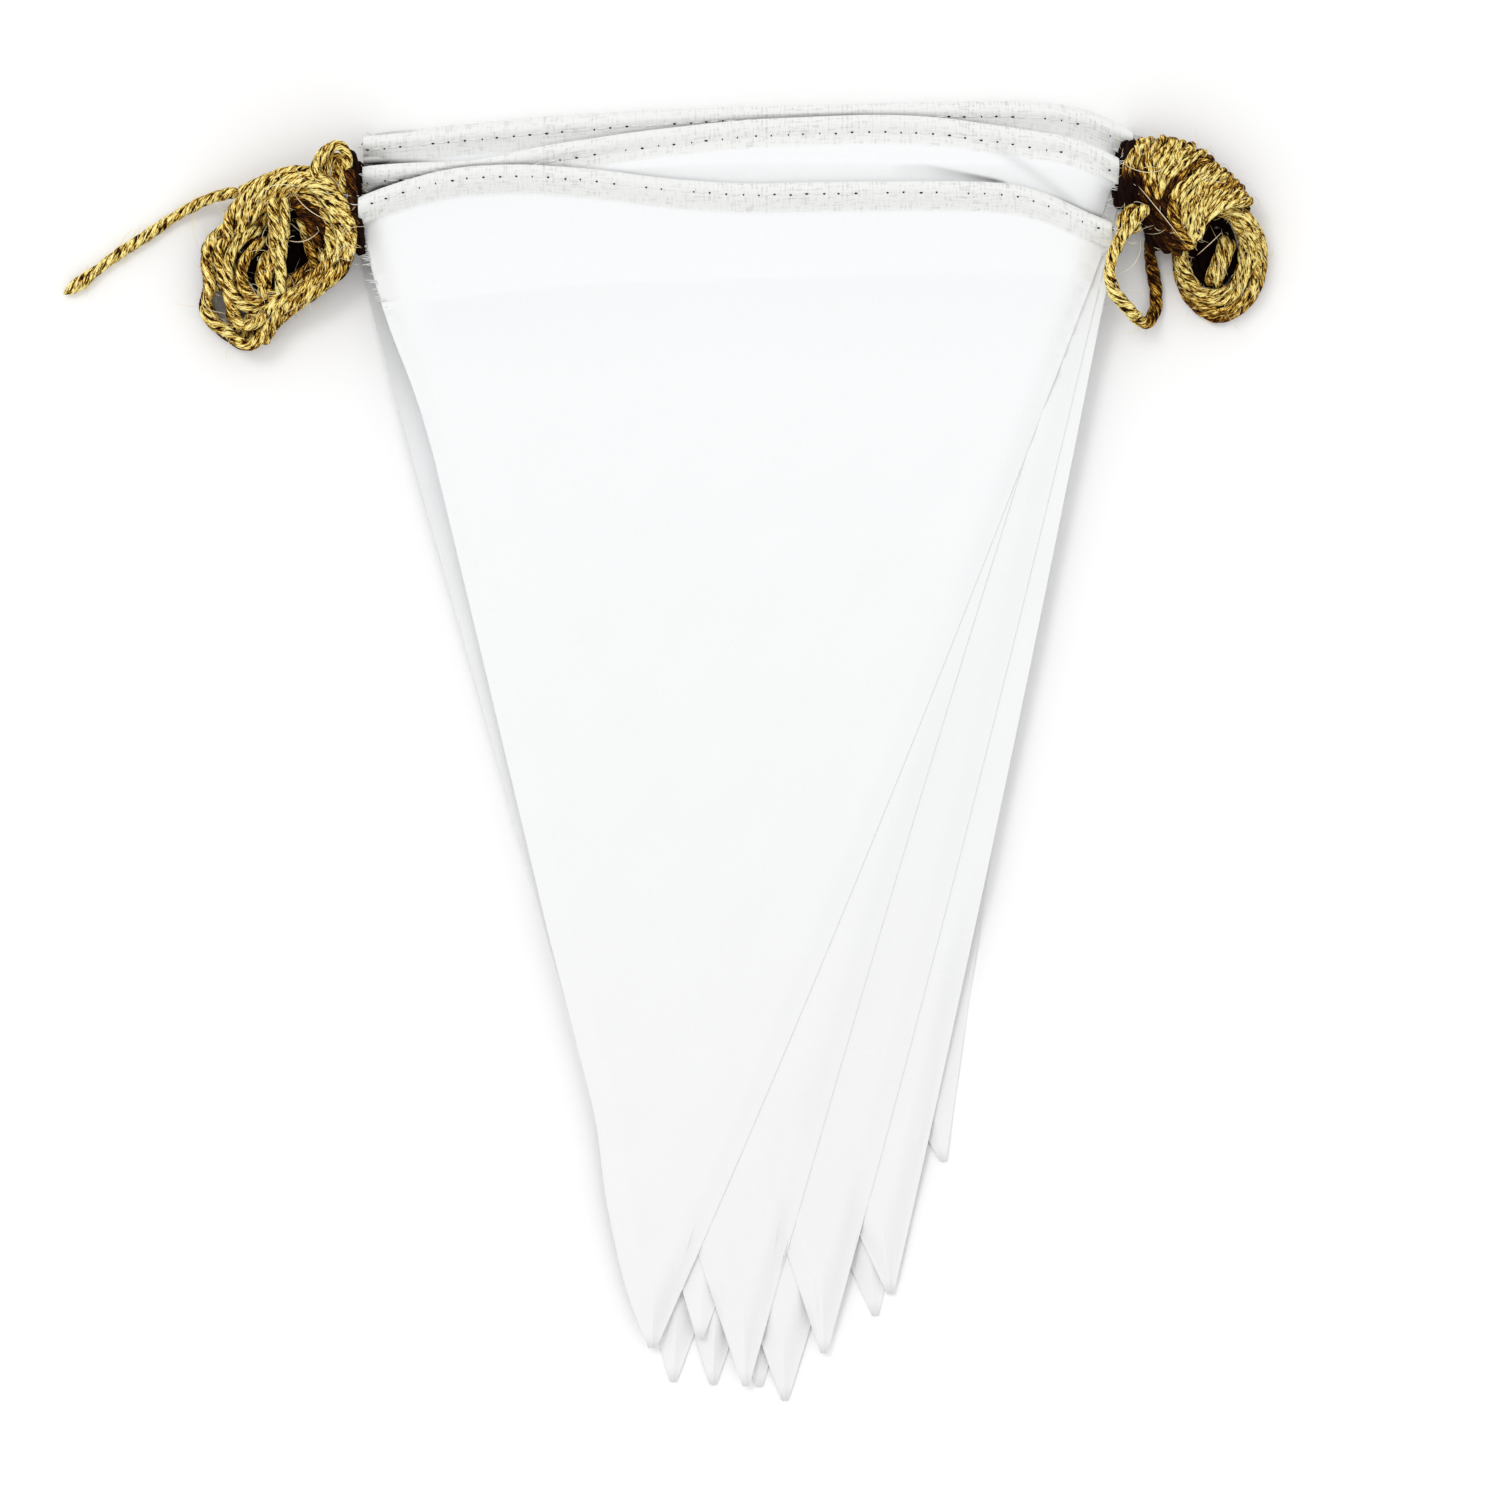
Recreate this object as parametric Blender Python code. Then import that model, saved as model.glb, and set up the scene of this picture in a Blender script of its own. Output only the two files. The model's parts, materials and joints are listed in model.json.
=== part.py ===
"""Fabric bunting: triangular cloth pennants stacked flat on a table, strung on jute twine.

Metres, +Z up. The stack lies on the plane z = 0 with the pennants' points towards -Y and their
casings, the sewn channels that hold the twine, towards +Y. Sizes below are in millimetres and are
turned into metres when a mesh is made.

A pennant's height is worked out in two steps. Near the casings, each cloth is laid like a taut sheet
over the casings and cloths beneath it, as one profile across the stack (y and z) carried along x.
Towards the points, a cloth only lies on the cloths that it really crosses, so the stack thins out.
"""

import math
from collections import namedtuple

import bmesh
import bpy
import numpy as np

MM = 0.001

# Cloth and twine
CLOTH = 1.0
GAP = 0.35
PITCH = CLOTH + GAP
TWINE_RADIUS = 1.8
TWINE_CLEARANCE = 0.3
TWINE_STANDS_OUT = 1.2

# Casing: an eight-sided tube of cloth round the twine, measured to its flats
CASING_SIDES = 8
CASING_INNER = TWINE_RADIUS + TWINE_CLEARANCE
CASING_OUTER = CASING_INNER + CLOTH
CASING_CORNER = CASING_OUTER * math.tan(math.pi / CASING_SIDES)
HEM_TOP_CORNER = 4
HEM_BOTTOM_CORNER = 5
HEM_END = 6.0

# The stack: where the casings lie, and the rows at which a cloth may change its slope
FRONT_CASING_Y = 147.4
TOUCHDOWN = -45.0
CORNER_SPACING = 0.6
SIDE_STRIP = 3.0
BODY_ROWS = (60.0, 20.0, -20.0, -55.0, -85.0, -105.0, -120.0, -135.0, -147.0, -158.0, -168.0, -180.0)
TIP_HALF_WIDTH = 0.9
PROFILE_STEP = 0.05
PROFILE_END = 30.0

# The casings' common line across the stack. Each row is a column of the stack: its x, how far the
# common line lies above or below its middle, and how far the front casing leaves that line. The first
# and last rows lie past the ends.
Column = namedtuple("Column", "x arch front_wave")
COLUMNS = (
    Column(-110.0, -9.2, 5.6),
    Column(-78.0, -6.4, 9.4),
    Column(-52.0, -3.7, 8.2),
    Column(-26.0, -1.5, 3.7),
    Column(0.0, 0.0, 0.0),
    Column(26.0, 0.6, 0.0),
    Column(52.0, 0.8, 0.2),
    Column(76.0, 0.4, -1.1),
    Column(91.0, -1.0, -5.7),
    Column(110.0, -9.5, -3.4),
)
COLUMN_X = [column.x for column in COLUMNS]
FRONT_NAME = "pennant_01"

# One row for each pennant, from the bottom of the stack to its top. casing_row is how far the casing
# lies behind the front one, left_end and right_end are the casing's ends, tip_x and tip_y the point,
# left_bow and right_bow how far the side bulges outwards at its middle.
Pennant = namedtuple("Pennant", "name casing_row left_end right_end tip_x tip_y left_bow right_bow")
PENNANTS = (
    Pennant("pennant_11", 22.4, -99.5, 104.5, 54.4, -113.5, 0.0, -4.0),
    Pennant("pennant_10", 15.0, -100.5, 104.0, 36.0, -155.4, 0.0, 1.0),
    Pennant("pennant_09", 7.5, -102.0, 103.0, 4.5, -174.6, 0.0, 0.0),
    Pennant("pennant_08", 0.0, -103.5, 101.5, -18.8, -173.2, 0.5, 0.0),
    Pennant("pennant_07", -7.5, -102.5, 101.0, -8.0, -174.0, 0.0, 0.0),
    Pennant("pennant_06", -15.0, -101.5, 100.5, 11.5, -178.3, 0.0, 1.5),
    Pennant("pennant_05", -22.5, -101.0, 102.0, -11.5, -161.3, 0.0, 0.0),
    Pennant("pennant_04", 7.5, -101.0, 103.5, 40.1, -149.4, 0.0, 4.0),
    Pennant("pennant_03", 22.4, -102.5, 105.5, 22.0, -165.4, -4.0, 2.0),
    Pennant("pennant_02", 15.0, -102.5, 101.5, 0.9, -174.3, 2.0, -2.0),
    Pennant("pennant_01", 0.0, -101.5, 99.5, -24.2, -164.0, 0.0, 2.5),
)

# Left hank: a bundle of loops, a barrel of turns round its upper end and a pair of strands over it
LEFT_LOOP_CENTRE = (-126.6, 130.4, 7.2)
LEFT_LOOP_ANGLE = 58.0
LEFT_LOOP_HALF_STRAIGHT = 10.5
LEFT_LOOP_BEND = 9.2
LEFT_LOOP_RADIUS = 7.6
LEFT_WRAP_ROUTE = ((-105.6, 148.5, 10.4), (-112.0, 149.2, 10.2), (-120.0, 147.6, 9.8),
                   (-129.5, 143.0, 9.0))
LEFT_WRAP_RADIUS = 9.6
LEFT_STRAND_ROUTE = ((-120.5, 150.0, 13.0), (-124.0, 141.0, 14.4), (-125.8, 132.0, 14.0),
                     (-126.6, 122.0, 13.0), (-125.6, 114.0, 10.0))
LEFT_STRAND_RADIUS = 3.2

# Right hank: a slanted barrel of turns that ends in an eye of loops
RIGHT_WRAP_ROUTE = ((106.3, 157.2, 10.2), (113.0, 153.4, 10.4), (119.5, 147.5, 10.2),
                    (126.5, 139.6, 9.2))
RIGHT_WRAP_RADIUS = 9.9
RIGHT_EYE_CENTRE = (128.2, 129.6, 4.6)
RIGHT_EYE_ANGLE = 100.0
RIGHT_EYE_HALF_STRAIGHT = 2.6
RIGHT_EYE_BEND = 8.6
RIGHT_EYE_RADIUS = 4.7

WRAP_TURN = 3.6
RIDGE_DEPTH = 0.16
WRAP_SIDES = 14
WRAP_SLANT = 0.25
BUNDLE_LOBES = 6
EYE_LOBES = 4
LOOP_STEPS = 28
LOOP_SAMPLES = 361

# Free stretches of twine, as points on their centre lines
LOOSE_END_ROUTE = (
    (-135.8, 148.9, 9.3), (-143.0, 147.4, 6.4), (-148.5, 145.2, 3.6), (-154.5, 141.9, 2.0),
    (-161.0, 137.5, 1.85), (-168.5, 132.6, 1.85), (-174.5, 128.2, 1.85), (-180.0, 124.0, 1.85),
    (-184.0, 121.4, 1.85),
)
BIGHT_ROUTE = (
    (109.3, 144.6, 18.3), (104.4, 139.6, 20.0), (100.4, 133.0, 20.2), (98.8, 127.0, 19.7),
    (100.0, 121.4, 19.2), (103.6, 117.2, 17.0), (106.9, 114.2, 10.6), (109.6, 113.6, 4.4),
    (111.8, 117.4, 1.95), (111.9, 123.0, 1.85), (110.8, 129.0, 2.4), (110.2, 134.0, 4.4),
    (111.2, 139.1, 7.3),
)
TWINE_STEP = 7.5
STRAND_STEP = 4.0
CURVE_SAMPLES = 12

CLOTH_COLOUR = (0.90, 0.89, 0.86, 1.0)
TWINE_COLOUR = (0.42, 0.27, 0.10, 1.0)


def make_material(name, colour, roughness):
    """A plain Principled material."""
    material = bpy.data.materials.new(name)
    material.use_nodes = True
    shader = material.node_tree.nodes["Principled BSDF"]
    shader.inputs["Base Color"].default_value = colour
    shader.inputs["Roughness"].default_value = roughness
    shader.inputs["Metallic"].default_value = 0.0
    return material


def add_object(name, data, material, collection):
    """Put a mesh or curve in a collection with its own copy of a material."""
    own = material.copy()
    own.name = name + "_finish"
    data.materials.append(own)
    item = bpy.data.objects.new(name, data)
    collection.objects.link(item)
    return item


def arch(x):
    """How far the casings' common line lies above its middle at x."""
    return float(np.interp(x, COLUMN_X, [column.arch for column in COLUMNS]))


def casing_wave(pennant, x):
    """How far a pennant's casing leaves the common line at x: only the front one does."""
    if pennant.name == FRONT_NAME:
        return float(np.interp(x, COLUMN_X, [column.front_wave for column in COLUMNS]))
    return 0.0


def casing_columns(pennant):
    """The x of each section along a pennant's casing, from its left end to its right end."""
    return [pennant.left_end] + COLUMN_X[1:-1] + [pennant.right_end]


def casing_y(pennant, x):
    """The y of a casing's centre line at x."""
    return FRONT_CASING_Y + pennant.casing_row + arch(x) + casing_wave(pennant, x)


def side_x(pennant, side, y):
    """The x of a pennant's left (-1) or right (+1) edge at a height y: a line with a gentle bow."""
    top_x = pennant.left_end if side < 0 else pennant.right_end
    bow = pennant.left_bow if side < 0 else pennant.right_bow
    top_y = casing_y(pennant, top_x)
    share = (top_y - y) / (top_y - pennant.tip_y)
    straight = top_x + (pennant.tip_x + side * TIP_HALF_WIDTH - top_x) * share
    return straight + side * bow * 4.0 * share * (1.0 - share)


def upper_hull(across, height):
    """The corners of the taut line that passes over all the points, from the first to the last."""
    corners = []
    for point in zip(across, height):
        while len(corners) > 1:
            (a_x, a_z), (b_x, b_z) = corners[-2:]
            if (b_x - a_x) * (point[1] - a_z) - (b_z - a_z) * (point[0] - a_x) < 0.0:
                break
            corners.pop()
        corners.append(point)
    return corners


def lay_section(row, across, top):
    """Lay one cloth over the profile of what is beneath it, with its casing's centre at row.

    Returns the height of the casing's underside, the taut line of the cloth's underside from the
    touchdown line up to the casing as (across, height) points, and the new profile.
    """
    away = np.abs(across - row)
    rounded = np.clip(away - CASING_CORNER, 0.0, None)
    under_casing = away <= CASING_OUTER
    base = float(np.max((top + GAP - rounded)[under_casing]))
    root = row - CASING_CORNER
    ahead = across < root
    line = upper_hull(np.append(across[ahead], root), np.append((top + GAP)[ahead], base))
    line_x, line_z = zip(*line)
    hem_x = row - HEM_END
    hem_z = float(np.interp(hem_x, line_x, line_z))
    cloth_top = np.interp(across, line_x, line_z) + CLOTH
    hem_top = np.interp(across, (hem_x, row - CASING_OUTER),
                        (hem_z + CLOTH, base + CASING_OUTER - CASING_CORNER))
    top = np.where(ahead, np.maximum(top, cloth_top), top)
    top = np.where(ahead & (across > hem_x), np.maximum(top, hem_top), top)
    top = np.where(under_casing, np.maximum(top, base + 2.0 * CASING_OUTER - rounded), top)
    return base, line, top


def shared_corners(lines, hems):
    """Give all sections of a cloth the same corners, from the touchdown line up to the hem's end.

    A corner that lies past a section's own hem is moved to just before it. Returns each section's line
    as (across, height) points, all with the same number of points.
    """
    corners = []
    for line, hem in zip(lines, hems):
        corners += [float(point[0]) for point in line[:-1] if point[0] < hem - CORNER_SPACING]
    spaced = []
    for corner in sorted(corners):
        if not spaced or corner - spaced[-1] > CORNER_SPACING:
            spaced.append(corner)
    before = CORNER_SPACING * np.arange(len(spaced), 0, -1)
    shared = []
    for line, hem in zip(lines, hems):
        places = np.append(np.minimum(spaced, hem - before), hem)
        shared.append(list(zip(places.tolist(), np.interp(places, *zip(*line)).tolist())))
    return shared


def lay_casings():
    """Lay the cloths one on another near their casings, from the bottom up, section by section.

    Returns, for each pennant, a list with one entry for each column of its casing: the height of the
    casing's underside and the line of the cloth's underside.
    """
    across = np.arange(TOUCHDOWN, PROFILE_END, PROFILE_STEP)
    tops = [np.full(len(across), -GAP) for _ in COLUMNS]
    laid = []
    for pennant in PENNANTS:
        bases, lines, hems = [], [], []
        for index, x in enumerate(casing_columns(pennant)):
            row = pennant.casing_row + casing_wave(pennant, x)
            base, line, tops[index] = lay_section(row, across, tops[index])
            bases.append(base)
            lines.append(line)
            hems.append(row - HEM_END)
        laid.append(list(zip(bases, shared_corners(lines, hems))))
    return laid


def cross_between(lower, upper, y_high, y_low):
    """True where two pennants lie over each other anywhere between two heights."""
    for y in np.linspace(y_high, y_low, 9):
        if y < max(lower.tip_y, upper.tip_y) - 1.0:
            continue
        left = max(side_x(lower, -1, y), side_x(upper, -1, y))
        right = min(side_x(lower, 1, y), side_x(upper, 1, y))
        if right - left > -0.6:
            return True
    return False


def lay_bodies():
    """For each pennant, the layer that it lies in at each body row: one above all that it crosses."""
    levels = [[0] * len(BODY_ROWS) for _ in PENNANTS]
    for row, y in enumerate(BODY_ROWS):
        above = BODY_ROWS[max(row - 1, 0)]
        below = BODY_ROWS[min(row + 1, len(BODY_ROWS) - 1)]
        for upper_index, upper in enumerate(PENNANTS):
            for lower_index, lower in enumerate(PENNANTS[:upper_index]):
                if cross_between(lower, upper, above, below):
                    level = levels[lower_index][row] + 1
                    levels[upper_index][row] = max(levels[upper_index][row], level)
    return levels


def octagon(flat_radius):
    """Corners of the casing's eight-sided section as (across, up), round from just above +across."""
    angles = (np.arange(CASING_SIDES) + 0.5) * 2.0 * math.pi / CASING_SIDES
    corner_radius = flat_radius / math.cos(math.pi / CASING_SIDES)
    return [(corner_radius * math.cos(angle), corner_radius * math.sin(angle)) for angle in angles]


def build_pennant(pennant, laid, levels):
    """One pennant as a closed mesh: the casing's tube, the hem and the cloth down to its point."""
    columns = casing_columns(pennant)
    last = len(columns) - 1
    mesh = bmesh.new()

    def vertex(x, y, z):
        return mesh.verts.new((x * MM, y * MM, z * MM))

    def ring(flat_radius):
        return [[vertex(x, casing_y(pennant, x) + dy, base + CASING_OUTER + dz)
                 for dy, dz in octagon(flat_radius)] for x, (base, _) in zip(columns, laid)]

    def cloth_row(place):
        points = [line[place] for _, line in laid]
        sides = [side_x(pennant, side, FRONT_CASING_Y + points[index][0] + arch(columns[index]))
                 for side, index in ((-1, 0), (1, last))]
        strips = [sides[0]] + list(np.clip(columns[1:-1], sides[0] + SIDE_STRIP, sides[1] - SIDE_STRIP))
        pairs = []
        for x, (across, z) in zip(strips + [sides[1]], points):
            y = FRONT_CASING_Y + across + arch(x)
            pairs.append((vertex(x, y, z + CLOTH), vertex(x, y, z)))
        return pairs

    outer = ring(CASING_OUTER)
    inner = ring(CASING_INNER)
    root = [(column[HEM_TOP_CORNER], column[HEM_BOTTOM_CORNER]) for column in outer]
    rows = [root] + [cloth_row(place) for place in reversed(range(len(laid[0][1])))]

    for index in range(last):
        following = index + 1
        for corner in range(CASING_SIDES):
            turn = (corner + 1) % CASING_SIDES
            for tube in (outer, inner):
                if tube is outer and corner == HEM_TOP_CORNER:
                    continue
                mesh.faces.new((tube[index][corner], tube[index][turn],
                                tube[following][turn], tube[following][corner]))
        for upper, lower in zip(rows, rows[1:]):
            for face in (0, 1):
                mesh.faces.new((upper[index][face], lower[index][face],
                                lower[following][face], upper[following][face]))
    for index in (0, last):
        for corner in range(CASING_SIDES):
            turn = (corner + 1) % CASING_SIDES
            mesh.faces.new((outer[index][corner], outer[index][turn],
                            inner[index][turn], inner[index][corner]))
        for upper, lower in zip(rows, rows[1:]):
            mesh.faces.new((upper[index][0], lower[index][0], lower[index][1], upper[index][1]))

    below = [(y, levels[row] * PITCH) for row, y in enumerate(BODY_ROWS)]
    tip_z = float(np.interp(-pennant.tip_y, [-y for y, _ in below], [z for _, z in below]))
    below = [(y, z) for y, z in below if y > pennant.tip_y] + [(pennant.tip_y, tip_z)]
    body = []
    for y, z in below:
        ends = [side_x(pennant, side, y) for side in (-1, 1)]
        body.append([(vertex(x, y, z + CLOTH), vertex(x, y, z)) for x in ends])
    for face in (0, 1):
        edge = [pair[face] for pair in rows[-1]]
        mesh.faces.new(edge + [body[0][1][face], body[0][0][face]])
    for side, index in ((0, 0), (1, last)):
        pair = rows[-1][index]
        mesh.faces.new((pair[0], body[0][side][0], body[0][side][1], pair[1]))
    for upper, lower in zip(body, body[1:]):
        for face in (0, 1):
            mesh.faces.new((upper[0][face], lower[0][face], lower[1][face], upper[1][face]))
        for side in (0, 1):
            mesh.faces.new((upper[side][0], lower[side][0], lower[side][1], upper[side][1]))
    mesh.faces.new((body[-1][0][0], body[-1][1][0], body[-1][1][1], body[-1][0][1]))

    bmesh.ops.recalc_face_normals(mesh, faces=mesh.faces)
    bmesh.ops.triangulate(mesh, faces=mesh.faces)
    data = bpy.data.meshes.new(pennant.name)
    mesh.to_mesh(data)
    mesh.free()
    return data


def twine_curve(name, points):
    """A round tube of twine along straight steps between points, with closed ends."""
    curve = bpy.data.curves.new(name, "CURVE")
    curve.dimensions = "3D"
    curve.bevel_depth = TWINE_RADIUS * MM
    curve.bevel_resolution = 2
    curve.use_fill_caps = True
    spline = curve.splines.new("POLY")
    spline.points.add(len(points) - 1)
    for spot, point in zip(spline.points, points):
        spot.co = (point[0] * MM, point[1] * MM, point[2] * MM, 1.0)
    return curve


def twine_run(pennant, laid):
    """The straight stretches of twine along a pennant's casing, a little longer than it."""
    name = pennant.name.replace("pennant", "twine_run")
    points = [[x, casing_y(pennant, x), base + CASING_OUTER]
              for x, (base, _) in zip(casing_columns(pennant), laid)]
    for end, near in ((0, 1), (-1, -2)):
        reach = TWINE_STANDS_OUT / abs(points[end][0] - points[near][0])
        points[end] = [a + (a - b) * reach for a, b in zip(points[end], points[near])]
    return twine_curve(name, points)


def smooth_route(route, step):
    """A smooth curve through a route's points (Catmull-Rom), read off at even steps of its length."""
    knots = np.array(route, dtype=float)
    padded = np.vstack((2.0 * knots[0] - knots[1], knots, 2.0 * knots[-1] - knots[-2]))
    t = np.linspace(0.0, 1.0, CURVE_SAMPLES, endpoint=False)[:, None]
    pieces = []
    for a, b, c, d in zip(padded, padded[1:], padded[2:], padded[3:]):
        pieces.append(0.5 * (2.0 * b + (c - a) * t + (2.0 * a - 5.0 * b + 4.0 * c - d) * t ** 2
                             + (3.0 * b - a - 3.0 * c + d) * t ** 3))
    fine = np.vstack(pieces + [knots[-1:]])
    length = np.concatenate(([0.0], np.cumsum(np.linalg.norm(np.diff(fine, axis=0), axis=1))))
    count = max(int(round(length[-1] / step)), 2) + 1
    stations = np.linspace(0.0, length[-1], count)
    return np.column_stack([np.interp(stations, length, fine[:, axis]) for axis in range(3)])


def loop_route(centre, angle, half_straight, bend):
    """A closed track of two straights and two half circles, turned by an angle in the plan."""
    turn = np.linspace(0.0, 2.0 * math.pi, LOOP_SAMPLES)
    shift = half_straight * np.clip(np.cos(turn) * LOOP_SAMPLES, -1.0, 1.0)
    along = bend * np.cos(turn) + shift
    across = bend * np.sin(turn)
    length = np.concatenate(([0.0], np.cumsum(np.hypot(np.diff(along), np.diff(across)))))
    stations = np.linspace(0.0, length[-1], LOOP_STEPS, endpoint=False)
    along, across = np.interp(stations, length, along), np.interp(stations, length, across)
    cos_a, sin_a = math.cos(math.radians(angle)), math.sin(math.radians(angle))
    return np.column_stack((centre[0] + along * cos_a - across * sin_a,
                            centre[1] + along * sin_a + across * cos_a,
                            np.full(LOOP_STEPS, centre[2])))


def sweep(name, route, radius, closed, lobes=0, slant=0.0):
    """Carry a ridged round section along a route.

    With lobes, the ridges run along the route and turn once round it, like strands of a bundle.
    Without, every second ring is drawn in, like turns of twine wound round a core.
    """
    count = len(route)
    if closed:
        tangent = np.roll(route, -1, axis=0) - np.roll(route, 1, axis=0)
    else:
        tangent = np.gradient(route, axis=0)
    tangent /= np.linalg.norm(tangent, axis=1)[:, None]
    aside = np.cross(tangent, (0.0, 0.0, 1.0))
    aside /= np.linalg.norm(aside, axis=1)[:, None]
    upward = np.cross(aside, tangent)
    sides = 2 * lobes if lobes else WRAP_SIDES
    twist = 2.0 * math.pi * np.arange(count) / count if lobes else np.zeros(count)
    angle = twist[:, None] + 2.0 * math.pi * np.arange(sides)[None, :] / sides
    odd = np.arange(sides)[None, :] % 2 if lobes else np.arange(count)[:, None] % 2
    reach = radius * (1.0 - RIDGE_DEPTH * odd) * np.ones((count, sides))
    if not closed:
        end = np.minimum(np.arange(count), count - 1 - np.arange(count))
        reach = reach * np.interp(end, (0, 2), (0.62, 1.0))[:, None]
    cosine, sine = np.cos(angle) * reach, np.sin(angle) * reach
    points = (route[:, None, :] + cosine[..., None] * aside[:, None, :]
              + sine[..., None] * upward[:, None, :] + slant * cosine[..., None] * tangent[:, None, :])
    index = np.arange(count * sides).reshape(count, sides)
    along = np.vstack((index, index[:1])) if closed else index
    beside = np.roll(along, -1, axis=1)
    faces = np.stack((along[:-1], beside[:-1], beside[1:], along[1:]), axis=-1).reshape(-1, 4).tolist()
    if not closed:
        faces.append(index[0].tolist())
        faces.append(index[-1][::-1].tolist())
    data = bpy.data.meshes.new(name)
    data.from_pydata((points.reshape(-1, 3) * MM).tolist(), [], faces)
    mesh = bmesh.new()
    mesh.from_mesh(data)
    bmesh.ops.recalc_face_normals(mesh, faces=mesh.faces)
    mesh.to_mesh(data)
    mesh.free()
    return data


def wrap_mesh(name, route, radius):
    """A barrel of turns: two rings for each turn of twine."""
    return sweep(name, smooth_route(route, WRAP_TURN / 2.0), radius, False, slant=WRAP_SLANT)


def add_guide(name, data, collection):
    """A shape that is joined to or cut from another one and isn't a piece by itself."""
    guide = bpy.data.objects.new(name, data)
    guide.hide_render = True
    guide.display_type = "WIRE"
    collection.objects.link(guide)
    return guide


def add_boolean(item, guide, operation):
    """Join a guide to an object, or cut it away."""
    modifier = item.modifiers.new(guide.name, "BOOLEAN")
    modifier.operation = operation
    modifier.solver = "EXACT"
    modifier.object = guide


def floor_block(collection):
    """A block under the table top that gives the hanks a flat underside."""
    depth, reach = 20.0 * MM, 400.0 * MM
    mesh = bmesh.new()
    bmesh.ops.create_cube(mesh, size=1.0)
    bmesh.ops.scale(mesh, vec=(reach, reach, depth), verts=mesh.verts)
    bmesh.ops.translate(mesh, vec=(0.0, 0.0, -depth / 2.0), verts=mesh.verts)
    data = bpy.data.meshes.new("table_top")
    mesh.to_mesh(data)
    mesh.free()
    return add_guide("table_top", data, collection)


def add_hanks(material, collection, cutters):
    """The two wound hanks of spare twine, each one solid with a flat underside."""
    floor = floor_block(cutters)
    loops = loop_route(LEFT_LOOP_CENTRE, LEFT_LOOP_ANGLE, LEFT_LOOP_HALF_STRAIGHT, LEFT_LOOP_BEND)
    left = add_object("hank_left", wrap_mesh("hank_left", LEFT_WRAP_ROUTE, LEFT_WRAP_RADIUS),
                      material, collection)
    bundle = sweep("left_loops", loops, LEFT_LOOP_RADIUS, True, BUNDLE_LOBES)
    strand_route = smooth_route(LEFT_STRAND_ROUTE, STRAND_STEP)
    strand = sweep("left_strand", strand_route, LEFT_STRAND_RADIUS, False, EYE_LOBES)
    for guide in (add_guide("left_loops", bundle, cutters), add_guide("left_strand", strand, cutters)):
        add_boolean(left, guide, "UNION")
    add_boolean(left, floor, "DIFFERENCE")

    eye = loop_route(RIGHT_EYE_CENTRE, RIGHT_EYE_ANGLE, RIGHT_EYE_HALF_STRAIGHT, RIGHT_EYE_BEND)
    right = add_object("hank_right", wrap_mesh("hank_right", RIGHT_WRAP_ROUTE, RIGHT_WRAP_RADIUS),
                       material, collection)
    eye_mesh = sweep("right_eye", eye, RIGHT_EYE_RADIUS, True, EYE_LOBES)
    add_boolean(right, add_guide("right_eye", eye_mesh, cutters), "UNION")
    add_boolean(right, floor, "DIFFERENCE")


def main():
    for item in list(bpy.data.objects):
        bpy.data.objects.remove(item, do_unlink=True)
    bunting = bpy.data.collections.new("fabric_bunting")
    cutters = bpy.data.collections.new("cutters")
    for collection in (bunting, cutters):
        bpy.context.scene.collection.children.link(collection)
    cloth = make_material("cloth", CLOTH_COLOUR, 0.9)
    twine = make_material("twine", TWINE_COLOUR, 0.85)

    laid = lay_casings()
    levels = lay_bodies()
    for layer, pennant in enumerate(PENNANTS):
        add_object(pennant.name, build_pennant(pennant, laid[layer], levels[layer]), cloth, bunting)
        run = twine_run(pennant, laid[layer])
        add_object(run.name, run, twine, bunting)
    add_hanks(twine, bunting, cutters)
    for name, route in (("twine_loose_end", LOOSE_END_ROUTE), ("twine_bight", BIGHT_ROUTE)):
        add_object(name, twine_curve(name, smooth_route(route, TWINE_STEP)), twine, bunting)


main()
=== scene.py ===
# %% [markdown]
# # Fabric bunting: the looks
#
# Eleven white cloth pennants lie flat in a stack, points down in the picture. Each has a narrow sewn
# casing at its wide end, and one long jute twine runs through all the casings. The spare twine is wound
# into a hank at each side.
#
# The model's solids are loaded first as a fixed frame. Everything after that is made around it: first
# the camera and the two free pieces of twine, then the hanks, the cloth, the stitches and the fibres.

# %% Load the frame
import json
from collections import namedtuple

import bmesh
import bpy
import numpy as np
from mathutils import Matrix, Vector

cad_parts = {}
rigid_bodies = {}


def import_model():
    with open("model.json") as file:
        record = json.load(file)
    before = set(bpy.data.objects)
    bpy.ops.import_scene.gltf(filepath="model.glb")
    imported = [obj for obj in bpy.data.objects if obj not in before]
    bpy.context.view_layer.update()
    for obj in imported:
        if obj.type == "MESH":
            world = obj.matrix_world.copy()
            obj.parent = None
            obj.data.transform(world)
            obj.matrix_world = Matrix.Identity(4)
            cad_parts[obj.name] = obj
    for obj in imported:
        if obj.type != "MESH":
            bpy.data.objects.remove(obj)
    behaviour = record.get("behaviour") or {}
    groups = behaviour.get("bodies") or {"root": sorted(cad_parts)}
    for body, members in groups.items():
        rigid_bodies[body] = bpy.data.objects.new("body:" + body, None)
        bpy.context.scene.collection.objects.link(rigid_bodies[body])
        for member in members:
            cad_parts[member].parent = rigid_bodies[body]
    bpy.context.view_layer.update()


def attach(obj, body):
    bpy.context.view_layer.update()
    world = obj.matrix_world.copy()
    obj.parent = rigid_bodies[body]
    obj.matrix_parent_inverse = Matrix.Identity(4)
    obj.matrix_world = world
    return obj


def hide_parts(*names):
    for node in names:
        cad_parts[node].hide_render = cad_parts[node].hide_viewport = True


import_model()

MM = 0.001
ROOT = "root"

# %% [markdown]
# ## Camera
#
# The photograph looks straight down on the stack from far away, so that nothing leans outwards. A long
# lens at a good distance does the same. The frame is about 401 mm wide at the height of the cloth.

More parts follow.
